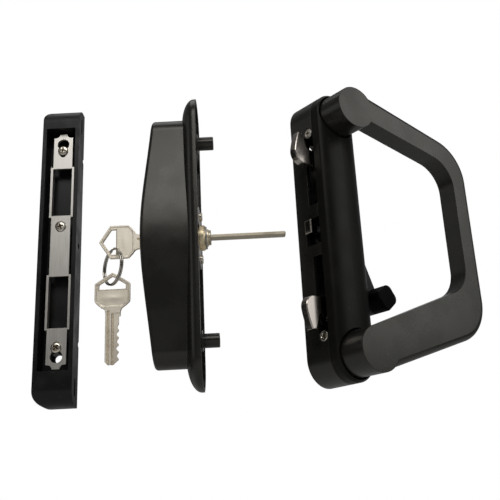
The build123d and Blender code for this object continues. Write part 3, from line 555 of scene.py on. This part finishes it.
@dataclass
class KeyBlank:
    """A cut key: a bow with a raised rim round a sunk panel and a hole, and a toothed blade.

    Its own frame has the shoulder at the origin, the blade along +X, the teeth towards -Z and the
    thickness along Y. Sizes are millimetres. Places on the bow are measured from its far end, but
    the swelling's from the hole's centre and the frame's end from the hole's flat end.
    """

    bow_length: float = 20.5
    bow_half_height: float = 10.0
    bow_corner: float = 6.4
    bow_flat_end: float = 17.1
    bow_end_half: float = 6.2
    hole_centre: float = 7.2
    hole_frame: float = 1.9
    hole_half_height: float = 7.5
    hole_flat: float = 9.8
    corner_power: float = 26.0
    rim_width: float = 1.05
    rim_half: float = 0.95
    frame_width: float = 0.7
    frame_end: float = 0.4
    rim_blend: float = 0.3
    panel_half: float = 0.64
    swelling_place: float = 7.6
    swelling_half_length: float = 1.5
    swelling_half_height: float = 4.6
    swelling_height: float = 0.13
    edge_round: float = 0.26
    edge_share: float = 0.62
    neck_length: float = 4.0
    neck_overlap: float = 0.3
    neck_flare: float = 0.9
    plain_flare: float = 2.0
    toothed_flare: float = 1.2
    blade_length: float = 28.0
    blade_half_height: float = 3.8
    blade_half: float = 0.93
    tooth_margin: float = 0.1
    shoulder_end: float = 0.9
    shoulder_height: float = 0.9
    shoulder_step: float = 0.05
    cut_start: float = 7.0
    cut_pitch: float = 4.0
    cut_depths: tuple[float, ...] = (0.7, 1.2, 0.9, 1.3, 0.9)
    cut_slope: float = 1.25
    cut_flat: float = 1.35
    tip_length: float = 1.6
    tip_fall: float = 1.5
    nose_length: float = 2.6
    nose_fall: float = 2.9
    tip_least: float = 0.5
    seen_side: tuple[Milling, ...] = (
        Milling(high=2.8, low=1.5, floor=0.1, start=-2.4),
        Milling(high=0.3, low=-0.9, floor=0.05, start=-0.7),
        Milling(high=-0.5, low=-9.0, floor=0.6, start=-0.7),
    )
    other_side: tuple[Milling, ...] = (
        Milling(high=1.7, low=0.5, floor=0.1, start=-2.4),
        Milling(high=-1.0, low=-9.0, floor=0.66, start=-0.7),
    )
    groove_widest: float = 2.0
    mill_wall: float = 0.22
    mill_run_out: float = 0.5
    around: int = 300
    across: int = 34
    neck_stations: int = 26
    blade_stations: int = 150
    blade_rows: int = 72

    @property
    def length(self) -> float:
        """Length from the shoulder to the bow's far end."""
        return self.neck_length + self.bow_length

    def _edges(self) -> tuple[np.ndarray, np.ndarray, np.ndarray, np.ndarray]:
        """Edge normals and distances of the bow's and the hole's outlines about the hole's centre.

        Returns:
            Bow normals, bow distances, hole normals and hole distances.
        """
        corner = np.array([self.bow_corner - self.hole_centre, self.bow_half_height])
        far = np.array([self.bow_length - self.hole_centre, self.bow_end_half])
        slant = np.array([-self.bow_half_height, self.bow_corner])
        slant /= math.hypot(*slant)
        fall = np.array([corner[1] - far[1], self.bow_length - self.bow_flat_end])
        fall /= math.hypot(*fall)
        flip = np.array([1.0, -1.0])
        slants, sides, falls = [slant, slant * flip], [(0, 1), (0, -1)], [fall, fall * flip]
        normals = np.array([*slants, *sides, *falls, (1, 0)])
        hole_normals = np.array([*slants, *sides, (1, 0)])
        bow = np.array([slant @ corner] * 2 + [corner[1]] * 2 + [fall @ far] * 2 + [far[0]])
        flat = self.hole_flat - self.hole_centre
        hole = np.array([bow[0] - self.hole_frame] * 2 + [self.hole_half_height] * 2 + [flat])
        return normals, bow, hole_normals, hole

    def _reach(
        self, angle: np.ndarray, normals: np.ndarray, distances: np.ndarray
    ) -> np.ndarray:
        """Distance to an outline along each angle.

        Each edge lies at its distance divided by the cosine from its normal; the nearest counts,
        and a high power mean of the inverses rounds the corners.

        Args:
            angle: directions from the hole's centre.
            normals: the outline's edge normals.
            distances: the edges' distances from the hole's centre.

        Returns:
            One distance for each angle.
        """
        direction = np.stack([np.cos(angle), np.sin(angle)], -1)
        share = np.clip(direction @ normals.T, 0, None) / distances
        return np.sum(share**self.corner_power, axis=-1) ** (-1 / self.corner_power)

    def bow(self) -> tuple[np.ndarray, Faces]:
        """The bow as a closed band round its hole.

        One parameter goes round the hole, the other from the hole's edge to the outline. The half
        thickness is the panel's, raised near both edges to the rim's, with a low oval swelling in
        the panel, and it falls by a quarter circle at the very edges.

        Returns:
            Its vertices, n by 3, and its faces.
        """
        normals, bow, hole_normals, hole = self._edges()
        angle = np.linspace(0, FULL_TURN, self.around, endpoint=False)
        inner = self._reach(angle, hole_normals, hole)
        outer = self._reach(angle, normals, bow)
        share = 0.5 - 0.5 * np.cos(np.linspace(0, math.pi, self.across))
        radius = inner + share[:, None] * (outer - inner)
        place = np.stack([radius * np.cos(angle), radius * np.sin(angle)], -1)
        x, y = place[..., 0], place[..., 1]
        to_outline = np.min(bow - place @ normals.T, axis=-1)
        past_hole = place @ hole_normals.T - hole
        to_frame = np.max(past_hole[..., :-1], axis=-1)
        near_rim = soft_step(self.rim_width - to_outline, self.rim_blend)
        before_end = soft_step(self.frame_end - x + hole[-1], self.rim_blend)
        near_frame = soft_step(self.frame_width - to_frame, self.rim_blend) * before_end
        raised = np.maximum(near_rim, near_frame)
        half = self.panel_half + (self.rim_half - self.panel_half) * raised
        along_oval = ((x - self.swelling_place) / self.swelling_half_length) ** 2
        across_oval = (y / self.swelling_half_height) ** 2
        swelling = self.swelling_height * np.exp(-(along_oval + across_oval))
        half = half + swelling * (1 - near_rim)
        to_edge = np.minimum(to_outline, np.max(past_hole, axis=-1))
        edge = np.clip(to_edge / self.edge_round, 0, 1)
        half = half * (self.edge_share + (1 - self.edge_share) * np.sqrt(1 - (1 - edge) ** 2))
        x = x + (self.hole_centre - self.length)
        front = np.stack([x, -half, y], -1)
        back = np.stack([x, half, y], -1)[::-1]
        points = np.concatenate([front, back]).reshape(-1, 3)
        rings = 2 * self.across
        step = np.arange(self.around)
        after = (step + 1) % self.around
        last = (rings - 1) * self.around
        closing = np.stack([last + step, last + after, after, step], -1).tolist()
        return points, ring_faces(rings, self.around) + closing

    def _limits(self, x: np.ndarray) -> tuple[np.ndarray, np.ndarray]:
        """Plain edge and toothed edge of neck and blade at each station along X.

        The neck flares into the bow by an exponential; each cut takes away a flat-bottomed V; both
        edges fall in at the tip.

        Args:
            x: the stations.

        Returns:
            Heights above and depths below the middle line.
        """
        flare = np.exp(-(x + self.neck_length) / self.neck_flare)
        tip = np.clip((x - self.blade_length + self.tip_length) / self.tip_length, 0, 1)
        plain = self.blade_half_height + self.plain_flare * flare - self.tip_fall * tip
        shoulder = self.shoulder_height * (x < self.shoulder_end)
        toothed = self.blade_half_height - self.tooth_margin + shoulder + self.toothed_flare * flare
        for count, depth in enumerate(self.cut_depths):
            place = self.cut_start + self.cut_pitch * count
            away = np.abs(x - place) / self.cut_slope
            toothed = toothed - depth * np.clip(self.cut_flat - away, 0, 1)
        nose = np.clip((x - self.blade_length + self.nose_length) / self.nose_length, 0, 1)
        return plain, np.maximum(toothed - self.nose_fall * nose, self.tip_least)

    def _milled(self, x: np.ndarray, z: np.ndarray, side: tuple[Milling, ...]) -> np.ndarray:
        """Half thickness of one side: the blank's, less what each milled cut takes away.

        A narrow cut is a V with its floor half way across; a wider one is flat.

        Args:
            x: places along the blade.
            z: heights at those places.
            side: the side's cuts.

        Returns:
            The half thickness at each place.
        """
        half = np.full_like(z, self.blade_half)
        for cut in side:
            width = cut.high - cut.low
            if width < self.groove_widest:
                inside = np.clip(1 - np.abs(2 * z - cut.high - cut.low) / width, 0, 1)
            else:
                under = soft_step(cut.high - z, self.mill_wall)
                inside = under * soft_step(z - cut.low, self.mill_wall)
            depth = (self.blade_half - cut.floor) * soft_step(x - cut.start, self.mill_run_out)
            half = half - depth * inside
        return half

    def blade(self) -> tuple[np.ndarray, Faces]:
        """Neck and blade as one closed tube.

        A flat profile is carried along X: its front and back follow the milled cuts, and its height
        runs from the toothed edge to the plain edge at each station.

        Returns:
            Its vertices, n by 3, and its faces.
        """
        neck_start = -self.neck_length - self.neck_overlap
        neck_end = self.shoulder_end - self.shoulder_step
        blade_start = self.shoulder_end + self.shoulder_step
        x = np.concatenate([
            np.linspace(neck_start, neck_end, self.neck_stations),
            np.linspace(blade_start, self.blade_length, self.blade_stations),
        ])
        share = np.linspace(0, 1, self.blade_rows)
        plain, toothed = self._limits(x)
        z = -toothed[:, None] + share[None, :] * (plain + toothed)[:, None]
        along = np.broadcast_to(x[:, None], z.shape)
        front = np.stack([along, -self._milled(along, z, self.other_side), z], -1)
        back = np.stack([along, self._milled(along, z, self.seen_side), z], -1)[:, ::-1]
        points = np.concatenate([front, back], axis=1)
        around = points.shape[1]
        last = (len(x) - 1) * around
        ends = [list(reversed(range(around))), list(range(last, last + around))]
        return points.reshape(-1, 3), ring_faces(len(x), around) + ends

    def surface(self) -> tuple[np.ndarray, Faces]:
        """Bow and blade together, in the key's own frame."""
        return merge_surfaces([self.bow(), self.blade()])


@dataclass
class CrossScrew:
    """A pan-head screw with a cross recess: a turned profile that sinks where the cross is.

    Sizes are millimetres, turn is in degrees, and shares are of the head's radius or height.
    """

    head_radius: float = 3.1
    head_height: float = 1.6
    rim_share: float = 0.42
    crown_power: int = 4
    shank_radius: float = 1.7
    shank_length: float = 8.9
    tip_length: float = 0.6
    tip_radius: float = 0.5
    arm_half_width: float = 0.42
    arm_reach: float = 1.75
    recess_depth: float = 1.05
    recess_wall: float = 0.16
    recess_rise: float = 0.45
    # Faces deeper than this share of the recess and within this share of the head's radius get
    # painted shade.
    shade_depth_share: float = 0.33
    shade_radius_share: float = 0.9
    turn: float = 20.0
    around: int = 144
    crown_rings: int = 44
    eye_share: float = 0.06

    def crown(self, radius: np.ndarray) -> np.ndarray:
        """Height of the head over its seat: full in the middle, falling by a power to the rim's.

        Args:
            radius: distances from the axis.

        Returns:
            The height at each distance.
        """
        share = np.clip(radius / self.head_radius, 0, 1)
        fall = (1 - share**self.crown_power) ** 0.5
        return self.head_height * (self.rim_share + (1 - self.rim_share) * fall)

    def _arm(self, across: np.ndarray, along: np.ndarray) -> np.ndarray:
        """One arm of the cross: one inside its half width and reach, fading over its wall.

        Args:
            across: places across the arm.
            along: places along the arm.

        Returns:
            One in the arm and zero outside it.
        """
        side = np.clip((self.arm_half_width - np.abs(across)) / self.recess_wall + 0.5, 0, 1)
        end = np.clip((self.arm_reach - np.abs(along)) / (2 * self.recess_wall) + 0.5, 0, 1)
        return side * end

    def recess(self, x: np.ndarray, y: np.ndarray) -> np.ndarray:
        """Depth of the cross: full in the middle, with a steady rise towards the arms' ends.

        Args:
            x: places along one arm.
            y: places along the other.

        Returns:
            The depth below the crown.
        """
        slope = 1 - self.recess_rise * np.hypot(x, y) / self.arm_reach
        arms = np.maximum(self._arm(x, y), self._arm(y, x))
        return self.recess_depth * arms * np.clip(slope, 0, 1)

    def recessed(self, seat: Vector, outward: Vector, piece: bpy.types.Object) -> np.ndarray:
        """Which faces of a piece lie in this screw's cross: those deeper than a share of it, which
        get painted shade.

        Args:
            seat: centre of the head's underside, in millimetres.
            outward: unit direction from the seat to the crown.
            piece: the mesh object that holds the screw.

        Returns:
            One truth value for each face.
        """
        centres = np.empty(len(piece.data.polygons) * 3)
        piece.data.polygons.foreach_get("center", centres)
        offset = centres.reshape(-1, 3) / MM - np.array(seat)
        rise = offset @ np.array(outward)
        radius = np.linalg.norm(offset - rise[:, None] * np.array(outward), axis=1)
        sunk = self.crown(radius) - rise > self.shade_depth_share * self.recess_depth
        return sunk & (radius < self.shade_radius_share * self.head_radius) & (rise > 0)

    def surface(self, seat: Vector, outward: Vector) -> tuple[np.ndarray, Faces]:
        """The screw as one closed turned surface.

        The profile runs out over the crown, in under the head, down the shank and to its tip, and
        is turned round the axis; the cross is taken from the crown's height.

        Args:
            seat: centre of the head's underside, in millimetres.
            outward: unit direction from the seat to the crown.

        Returns:
            The vertices in metres, and the faces.
        """
        turned = math.radians(self.turn)
        angle = np.linspace(0, FULL_TURN, self.around, endpoint=False) + turned
        radii = np.linspace(self.eye_share, 1, self.crown_rings) * self.head_radius
        r, a = np.meshgrid(radii, angle, indexing="ij")
        x, y = r * np.cos(a), r * np.sin(a)
        local_x = x * math.cos(turned) + y * math.sin(turned)
        local_y = y * math.cos(turned) - x * math.sin(turned)
        height = self.crown(r) - self.recess(local_x, local_y)
        under = np.array([
            (self.head_radius, 0.0), (self.shank_radius, 0.0),
            (self.shank_radius, self.tip_length - self.shank_length),
            (self.tip_radius, -self.shank_length),
        ])
        x = np.vstack([x, under[:, :1] * np.cos(angle)])
        y = np.vstack([y, under[:, :1] * np.sin(angle)])
        height = np.vstack([height, under[:, 1:] * np.ones_like(angle)])
        side = outward.orthogonal().normalized()
        other = outward.cross(side)
        axes = np.array([side, other, outward])
        points = (np.array(seat) + np.stack([x, y, height], -1) @ axes).reshape(-1, 3)
        top = np.array(seat) + (self.head_height - self.recess_depth) * axes[2]
        tip = np.array(seat) - self.shank_length * axes[2]
        points = np.vstack([points, top, tip]) * MM
        rings = len(radii) + len(under)
        last = (rings - 1) * self.around
        step = np.arange(self.around)
        after = (step + 1) % self.around
        pole = np.full_like(step, rings * self.around)
        faces = [list(reversed(quad)) for quad in ring_faces(rings, self.around)]
        faces += np.stack([pole, step, after], -1).tolist()
        faces += np.stack([pole + 1, last + after, last + step], -1).tolist()
        return points, faces


@dataclass
class SplitRing:
    """A sprung wire ring of nearly two turns, side by side, with one step between them.

    Sizes are millimetres; start is an angle in radians.
    """

    radius: float = 10.4
    wire: float = 0.52
    gap: float = 0.56
    turns: float = 1.93
    start: float = 1.1
    step_sharpness: float = 60.0
    flattening: float = 1.12
    along: int = 260
    around: int = 14

    def surface(self, centre: Vector, across: Vector) -> tuple[np.ndarray, Faces]:
        """The wire as a tube along two turns.

        The path is a circle whose height across its plane steps smoothly from one side to the other
        half way along, by a logistic curve.

        Args:
            centre: the ring's centre in millimetres.
            across: unit normal of the ring's plane.

        Returns:
            The vertices in metres, and the faces.
        """
        t = np.linspace(0, 1, self.along)
        angle = self.start + FULL_TURN * self.turns * t
        step = 1 / (1 + np.exp(-(t - 0.5) * self.step_sharpness))
        height = self.gap * (2 * step - 1)
        side = np.array(across.orthogonal().normalized())
        other = np.cross(np.array(across), side)
        outward = np.cos(angle)[:, None] * side + np.sin(angle)[:, None] * other
        path = np.array(centre) + self.radius * outward + height[:, None] * np.array(across)
        turn = np.linspace(0, FULL_TURN, self.around, endpoint=False)
        width = self.wire * self.flattening * np.cos(turn)[None, :, None]
        depth = self.wire * np.sin(turn)[None, :, None]
        tube = path[:, None, :] + width * outward[:, None, :] + depth * np.array(across)
        last = (self.along - 1) * self.around
        ends = [list(reversed(range(self.around))), list(range(last, last + self.around))]
        return tube.reshape(-1, 3) * MM, ring_faces(self.along, self.around) + ends


@dataclass(frozen=True)
class HandleFrame:
    """The inside handle's axes, read from the snib's joint: P off the door, S along it, Z up."""

    origin: Vector
    p: Vector
    s: Vector

    @classmethod
    def from_joint(cls, name: str) -> "HandleFrame":
        """Read the frame from a joint whose axis is P.

        Args:
            name: the joint's name.

        Returns:
            The frame, in millimetres.
        """
        joint = next(j for j in frame["joints"] if j["name"] == name)
        p = Vector(joint["axis"]).normalized()
        return cls(origin=Vector(joint["pos_m"]) / MM, p=p, s=Vector((0, 0, 1)).cross(p))

    def at(self, p: float, s: float, z: float) -> Vector:
        """A point of the handle's frame in the set's frame, in millimetres."""
        return self.origin + p * self.p + s * self.s + Vector((0, 0, z))


@dataclass
class Keeper:
    """The jamb keeper: cast housing, steel strike and its three cross-head screws."""

    finishes: dict[str, Finish] = field(default_factory=lambda: {
        "keeper_housing": Finish.CAST_SHADE,
        "strike_insert": Finish.STRIKE_STEEL,
    })
    screw_turns: dict[str, float] = field(default_factory=lambda: {
        "strike_top_screw": 38.0,
        "strike_bottom_screw": 8.0,
        "strike_centre_screw": 62.0,
    })
    screw: CrossScrew = field(default_factory=CrossScrew)

    def build(self, palette: Palette) -> None:
        """Dress the housing and strike, and make the screws.

        Args:
            palette: the finishes.
        """
        palette.dress_nodes(self.finishes)
        for node, turn in self.screw_turns.items():
            self._screw(palette, node, turn)

    def _screw(self, palette: Palette, node: str, turn: float) -> None:
        """Replace one plain screw by one with a cross recess, on the same seat.

        Args:
            palette: the finishes.
            node: the plain screw.
            turn: how far the cross is turned, in degrees.
        """
        low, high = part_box(node)
        seat_y = low.y / MM + self.screw.head_height
        seat = Vector(((low.x + high.x) / 2 / MM, seat_y, (low.z + high.z) / 2 / MM))
        screw = replace(self.screw, turn=turn, shank_length=high.y / MM - seat_y)
        outward = Vector((0, -1, 0))
        points, faces = screw.surface(seat, outward)
        piece = mesh_piece(node + "_crossed", points, faces, "fixed_pieces", TURNED_EDGE)
        # The faces deep in the cross get the recess finish, which is painted shade.
        sunk = screw.recessed(seat, outward, piece)
        palette.dress_parts(piece, Finish.SCREW_PLATE, Finish.SCREW_RECESS_PAINTED_SHADE, sunk)
        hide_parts(node)


@dataclass
class OutsidePull:
    """The outside pull with its cylinder, plug, tail and fixings."""

    finishes: dict[str, Finish] = field(default_factory=lambda: {
        "pull_body": Finish.POWDER_COAT,
        "cylinder_body": Finish.CYLINDER_BRASS,
        "cylinder_plug": Finish.PLUG_BRASS,
        "wafer_tumblers": Finish.PLUG_BRASS,
        "plug_clip": Finish.BARE_STEEL,
        "tailpiece": Finish.TAIL_BRASS,
        "retaining_plate": Finish.BARE_STEEL,
        "retaining_screws": Finish.SCREW_PLATE,
    })

    def build(self, palette: Palette) -> None:
        """Dress every piece of the pull."""
        palette.dress_nodes(self.finishes)


@dataclass
class KeySet:
    """Two keys and the split ring that joins them.

    The ring's plane leans by so many degrees about Z, and the ring sags on the key's hole.
    """

    key: KeyBlank = field(default_factory=KeyBlank)
    ring: SplitRing = field(default_factory=SplitRing)
    lean: float = 52.0
    sag: float = 1.6

    def _key(
        self, palette: Palette, name: str, node: str, body: str, turn: np.ndarray, shoulder: Vector
    ) -> None:
        """Make one key in place of its node.

        Args:
            palette: the finishes.
            name: the piece's name.
            node: the node that it stands for.
            body: the body that carries it.
            turn: rows that turn the key's own axes to the set's.
            shoulder: place of its shoulder in millimetres.
        """
        points, faces = self.key.surface()
        placed = (points @ turn.T + np.array(shoulder)) * MM
        piece = mesh_piece(name, placed, faces, body, TURNED_EDGE)
        face_outwards(piece)
        palette.dress(piece, Finish.KEY_NICKEL)
        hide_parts(node)

    def build(self, palette: Palette) -> None:
        """Make both keys and the ring, each placed by its node's box.

        Args:
            palette: the finishes.
        """
        low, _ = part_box("inserted_key")
        shoulder = Vector((low.x / MM + self.key.length, 0, 0))
        self._key(palette, "cut_key_in_lock", "inserted_key", "key", np.eye(3), shoulder)
        low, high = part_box("spare_key")
        shoulder = Vector(((low.x + high.x) / 2 / MM, 0, high.z / MM - self.key.length))
        hanging = np.array([[0.0, 0.0, -1.0], [0.0, -1.0, 0.0], [-1.0, 0.0, 0.0]])
        self._key(palette, "cut_key_spare", "spare_key", "hanging_key", hanging, shoulder)
        low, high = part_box("key_ring")
        centre = (low + high) / 2 / MM - Vector((0, 0, self.sag))
        lean = math.radians(self.lean)
        across = Vector((math.sin(lean), math.cos(lean), 0))
        points, faces = self.ring.surface(centre, across)
        piece = mesh_piece("split_ring", points, faces, "ring", WIRE_EDGE)
        palette.dress(piece, Finish.RING_STEEL)
        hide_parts("key_ring")


@dataclass
class InsideHandle:
    """The latch case, cover, D handle, snib, hooks and what drives them."""

    side_screw: CrossScrew = field(default_factory=lambda: CrossScrew(
        head_radius=3.0, head_height=1.0, shank_radius=1.55, shank_length=4.6, arm_reach=1.6,
        recess_depth=0.7, arm_half_width=0.38,
    ))
    side_screw_p: float = 14.0
    side_screw_z: float = 62.0
    side_screw_sink: float = 0.9
    side_screw_turns: tuple[float, float] = (30.0, 55.0)
    case_radius: float = 15.0
    finishes: dict[str, Finish] = field(default_factory=lambda: {
        "lock_case": Finish.POWDER_COAT,
        # The cover's finish is a darkened copy of the black coat: painted shade.
        "front_cover": Finish.COVER_PAINTED_SHADE,
        "d_handle": Finish.POWDER_COAT,
        "handle_screws": Finish.SCREW_PLATE,
        "upper_hook": Finish.HOOK_CHROME,
        "lower_hook": Finish.HOOK_CHROME,
        "hook_pivots": Finish.BARE_STEEL,
        "hub": Finish.BARE_STEEL,
        "snib_lever": Finish.CAST_SHADE,
        "snib_knob": Finish.KNOB_PLASTIC,
        "upper_slide": Finish.BARE_STEEL,
        "lower_slide": Finish.BARE_STEEL,
        "anti_slam_plunger": Finish.HOOK_CHROME,
        "plunger_spring": Finish.BARE_STEEL,
    })

    def build(self, palette: Palette) -> None:
        """Dress the handle's nodes and make the two side screws.

        Args:
            palette: the finishes.
        """
        palette.dress_nodes(self.finishes)
        axes = HandleFrame.from_joint("snib_turn")
        outward = -axes.s
        seat_s = self.side_screw_sink - self.case_radius
        heights = (self.side_screw_z, -self.side_screw_z)
        seats = [axes.at(self.side_screw_p, seat_s, height) for height in heights]
        screws = [replace(self.side_screw, turn=turn) for turn in self.side_screw_turns]
        points, faces = merge_surfaces(
            [screw.surface(seat, outward) for screw, seat in zip(screws, seats)]
        )
        piece = mesh_piece("side_screws_crossed", points, faces, "fixed_pieces", TURNED_EDGE)
        # The faces deep in each cross get the recess finish, which is painted shade.
        sunk = [screw.recessed(seat, outward, piece) for screw, seat in zip(screws, seats)]
        palette.dress_parts(piece, Finish.SCREW_PLATE, Finish.SCREW_RECESS_PAINTED_SHADE, sunk[0] | sunk[1])
        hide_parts("cover_screws")


@dataclass(frozen=True)
class SoftBox:
    """A rectangular lamp of even radiance that faces a target. Sizes are metres."""

    name: str
    place: tuple[float, float, float]
    target: tuple[float, float, float]
    width: float
    height: float
    radiance: float

    def build(self) -> None:
        """Hang the lamp; its power is its radiance times pi times its area."""
        data = bpy.data.lights.new(self.name, "AREA")
        data.shape = "RECTANGLE"
        data.size = self.width
        data.size_y = self.height
        data.energy = self.radiance * math.pi * self.width * self.height
        lamp = bpy.data.objects.new(self.name, data)
        lamp.location = self.place
        sight = Vector(self.target) - Vector(self.place)
        lamp.rotation_euler = sight.to_track_quat("-Z", "Y").to_euler()
        bpy.context.scene.collection.objects.link(lamp)


@dataclass
class Studio:
    """Camera, floor, lamps at the front, both sides, behind and overhead, and a pale room.

    The camera's place and sensor are in millimetres, its focal length and frame in pixels and its
    angles in degrees; the rest is in metres.
    """

    focal_pixels: float = 767.43
    frame_pixels: float = 500.0
    sensor: float = 36.0
    camera_place: tuple[float, float, float] = (28.2, -413.6, -151.6)
    pitch: float = 19.07
    roll: float = 2.83
    near_clip: float = 0.01
    floor_level: float = -0.175
    floor_half: float = 3.0
    floor_tone: float = 0.86
    floor_roughness: float = 0.8
    world_strength: float = 0.13
    boxes: tuple[SoftBox, ...] = (
        SoftBox("front_box", (-0.04, -0.80, 0.66), (0.0, 0.0, 0.0), 0.7, 0.45, 3.2),
        SoftBox("right_box", (0.92, -0.22, 0.36), (0.08, 0.0, 0.0), 0.44, 0.55, 1.7),
        SoftBox("left_box", (-1.0, -0.05, 0.36), (0.1, 0.0, 0.0), 0.5, 0.45, 0.45),
        SoftBox("back_box", (0.5, 1.1, 0.45), (0.05, 0.0, 0.0), 1.3, 0.5, 0.3),
        SoftBox("top_box", (0.0, 0.1, 0.95), (0.0, 0.0, 0.0), 0.8, 0.6, 1.2),
    )

    def build(self) -> None:
        """Set the camera, floor, lamps and world."""
        self._camera()
        self._floor()
        for box in self.boxes:
            box.build()
        self._world()
        bpy.context.scene.view_settings.view_transform = "Standard"

    def _camera(self) -> None:
        """Stand the camera where the photograph was taken from, pitched up and slightly rolled."""
        pitch, roll = math.radians(self.pitch), math.radians(self.roll)
        forward = Vector((0, math.cos(pitch), math.sin(pitch)))
        level = Vector((1, 0, 0))
        upright = Vector((0, -math.sin(pitch), math.cos(pitch)))
        right = level * math.cos(roll) - upright * math.sin(roll)
        up = upright * math.cos(roll) + level * math.sin(roll)
        data = bpy.data.cameras.new("camera")
        data.lens = self.focal_pixels / self.frame_pixels * self.sensor
        data.sensor_width = self.sensor
        data.clip_start = self.near_clip
        camera = bpy.data.objects.new("camera", data)
        turn = Matrix((right, up, -forward)).transposed().to_4x4()
        camera.matrix_world = Matrix.Translation(Vector(self.camera_place) * MM) @ turn
        bpy.context.scene.collection.objects.link(camera)
        bpy.context.scene.camera = camera

    def _floor(self) -> None:
        """A plain pale floor below the set."""
        mesh = bpy.data.meshes.new("floor")
        half = self.floor_half
        sides = ((-half, -half), (half, -half), (half, half), (-half, half))
        mesh.from_pydata([(x, y, self.floor_level) for x, y in sides], [], [(0, 1, 2, 3)])
        floor = bpy.data.objects.new("floor", mesh)
        bpy.context.scene.collection.objects.link(floor)
        material = bpy.data.materials.new("pale_floor")
        material.use_nodes = True
        shader = material.node_tree.nodes["Principled BSDF"]
        shader.inputs["Base Color"].default_value = (*[self.floor_tone] * 3, 1)
        shader.inputs["Roughness"].default_value = self.floor_roughness
        mesh.materials.append(material)

    def _world(self) -> None:
        """Even pale light all round, and plain white where the camera sees past the set."""
        world = bpy.data.worlds.new("pale_room")
        bpy.context.scene.world = world
        world.use_nodes = True
        tree = Tree(world.node_tree.nodes, world.node_tree.links)
        soft = world.node_tree.nodes["Background"]
        soft.inputs["Color"].default_value = (1, 1, 1, 1)
        soft.inputs["Strength"].default_value = self.world_strength
        white = tree.add("ShaderNodeBackground")
        white.inputs["Color"].default_value = (1, 1, 1, 1)
        white.inputs["Strength"].default_value = 1.0
        path = tree.add("ShaderNodeLightPath")
        mix = tree.add("ShaderNodeMixShader")
        tree.join(path.outputs["Is Camera Ray"], mix.inputs["Fac"])
        tree.join(soft.outputs["Background"], mix.inputs[1])
        tree.join(white.outputs["Background"], mix.inputs[2])
        tree.join(mix.outputs["Shader"], world.node_tree.nodes["World Output"].inputs["Surface"])


def write_sizes() -> None:
    """Refresh the view layer; no box is written."""
    def plain(box: Any) -> list:
        """The box's corners as plain numbers."""
        return [[float(v) for v in corner] for corner in box]

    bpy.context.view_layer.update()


def main() -> None:
    """Build the studio and dress every sub-assembly in turn."""
    logging.basicConfig(level=logging.INFO, format="%(name)s %(message)s")
    Studio().build()
    palette = Palette(Effects())
    for assembly in (Keeper(), OutsidePull(), KeySet(), InsideHandle()):
        assembly.build(palette)
        log.info("%s dressed", type(assembly).__name__)
    write_sizes()


if __name__ == "__main__":
    main()
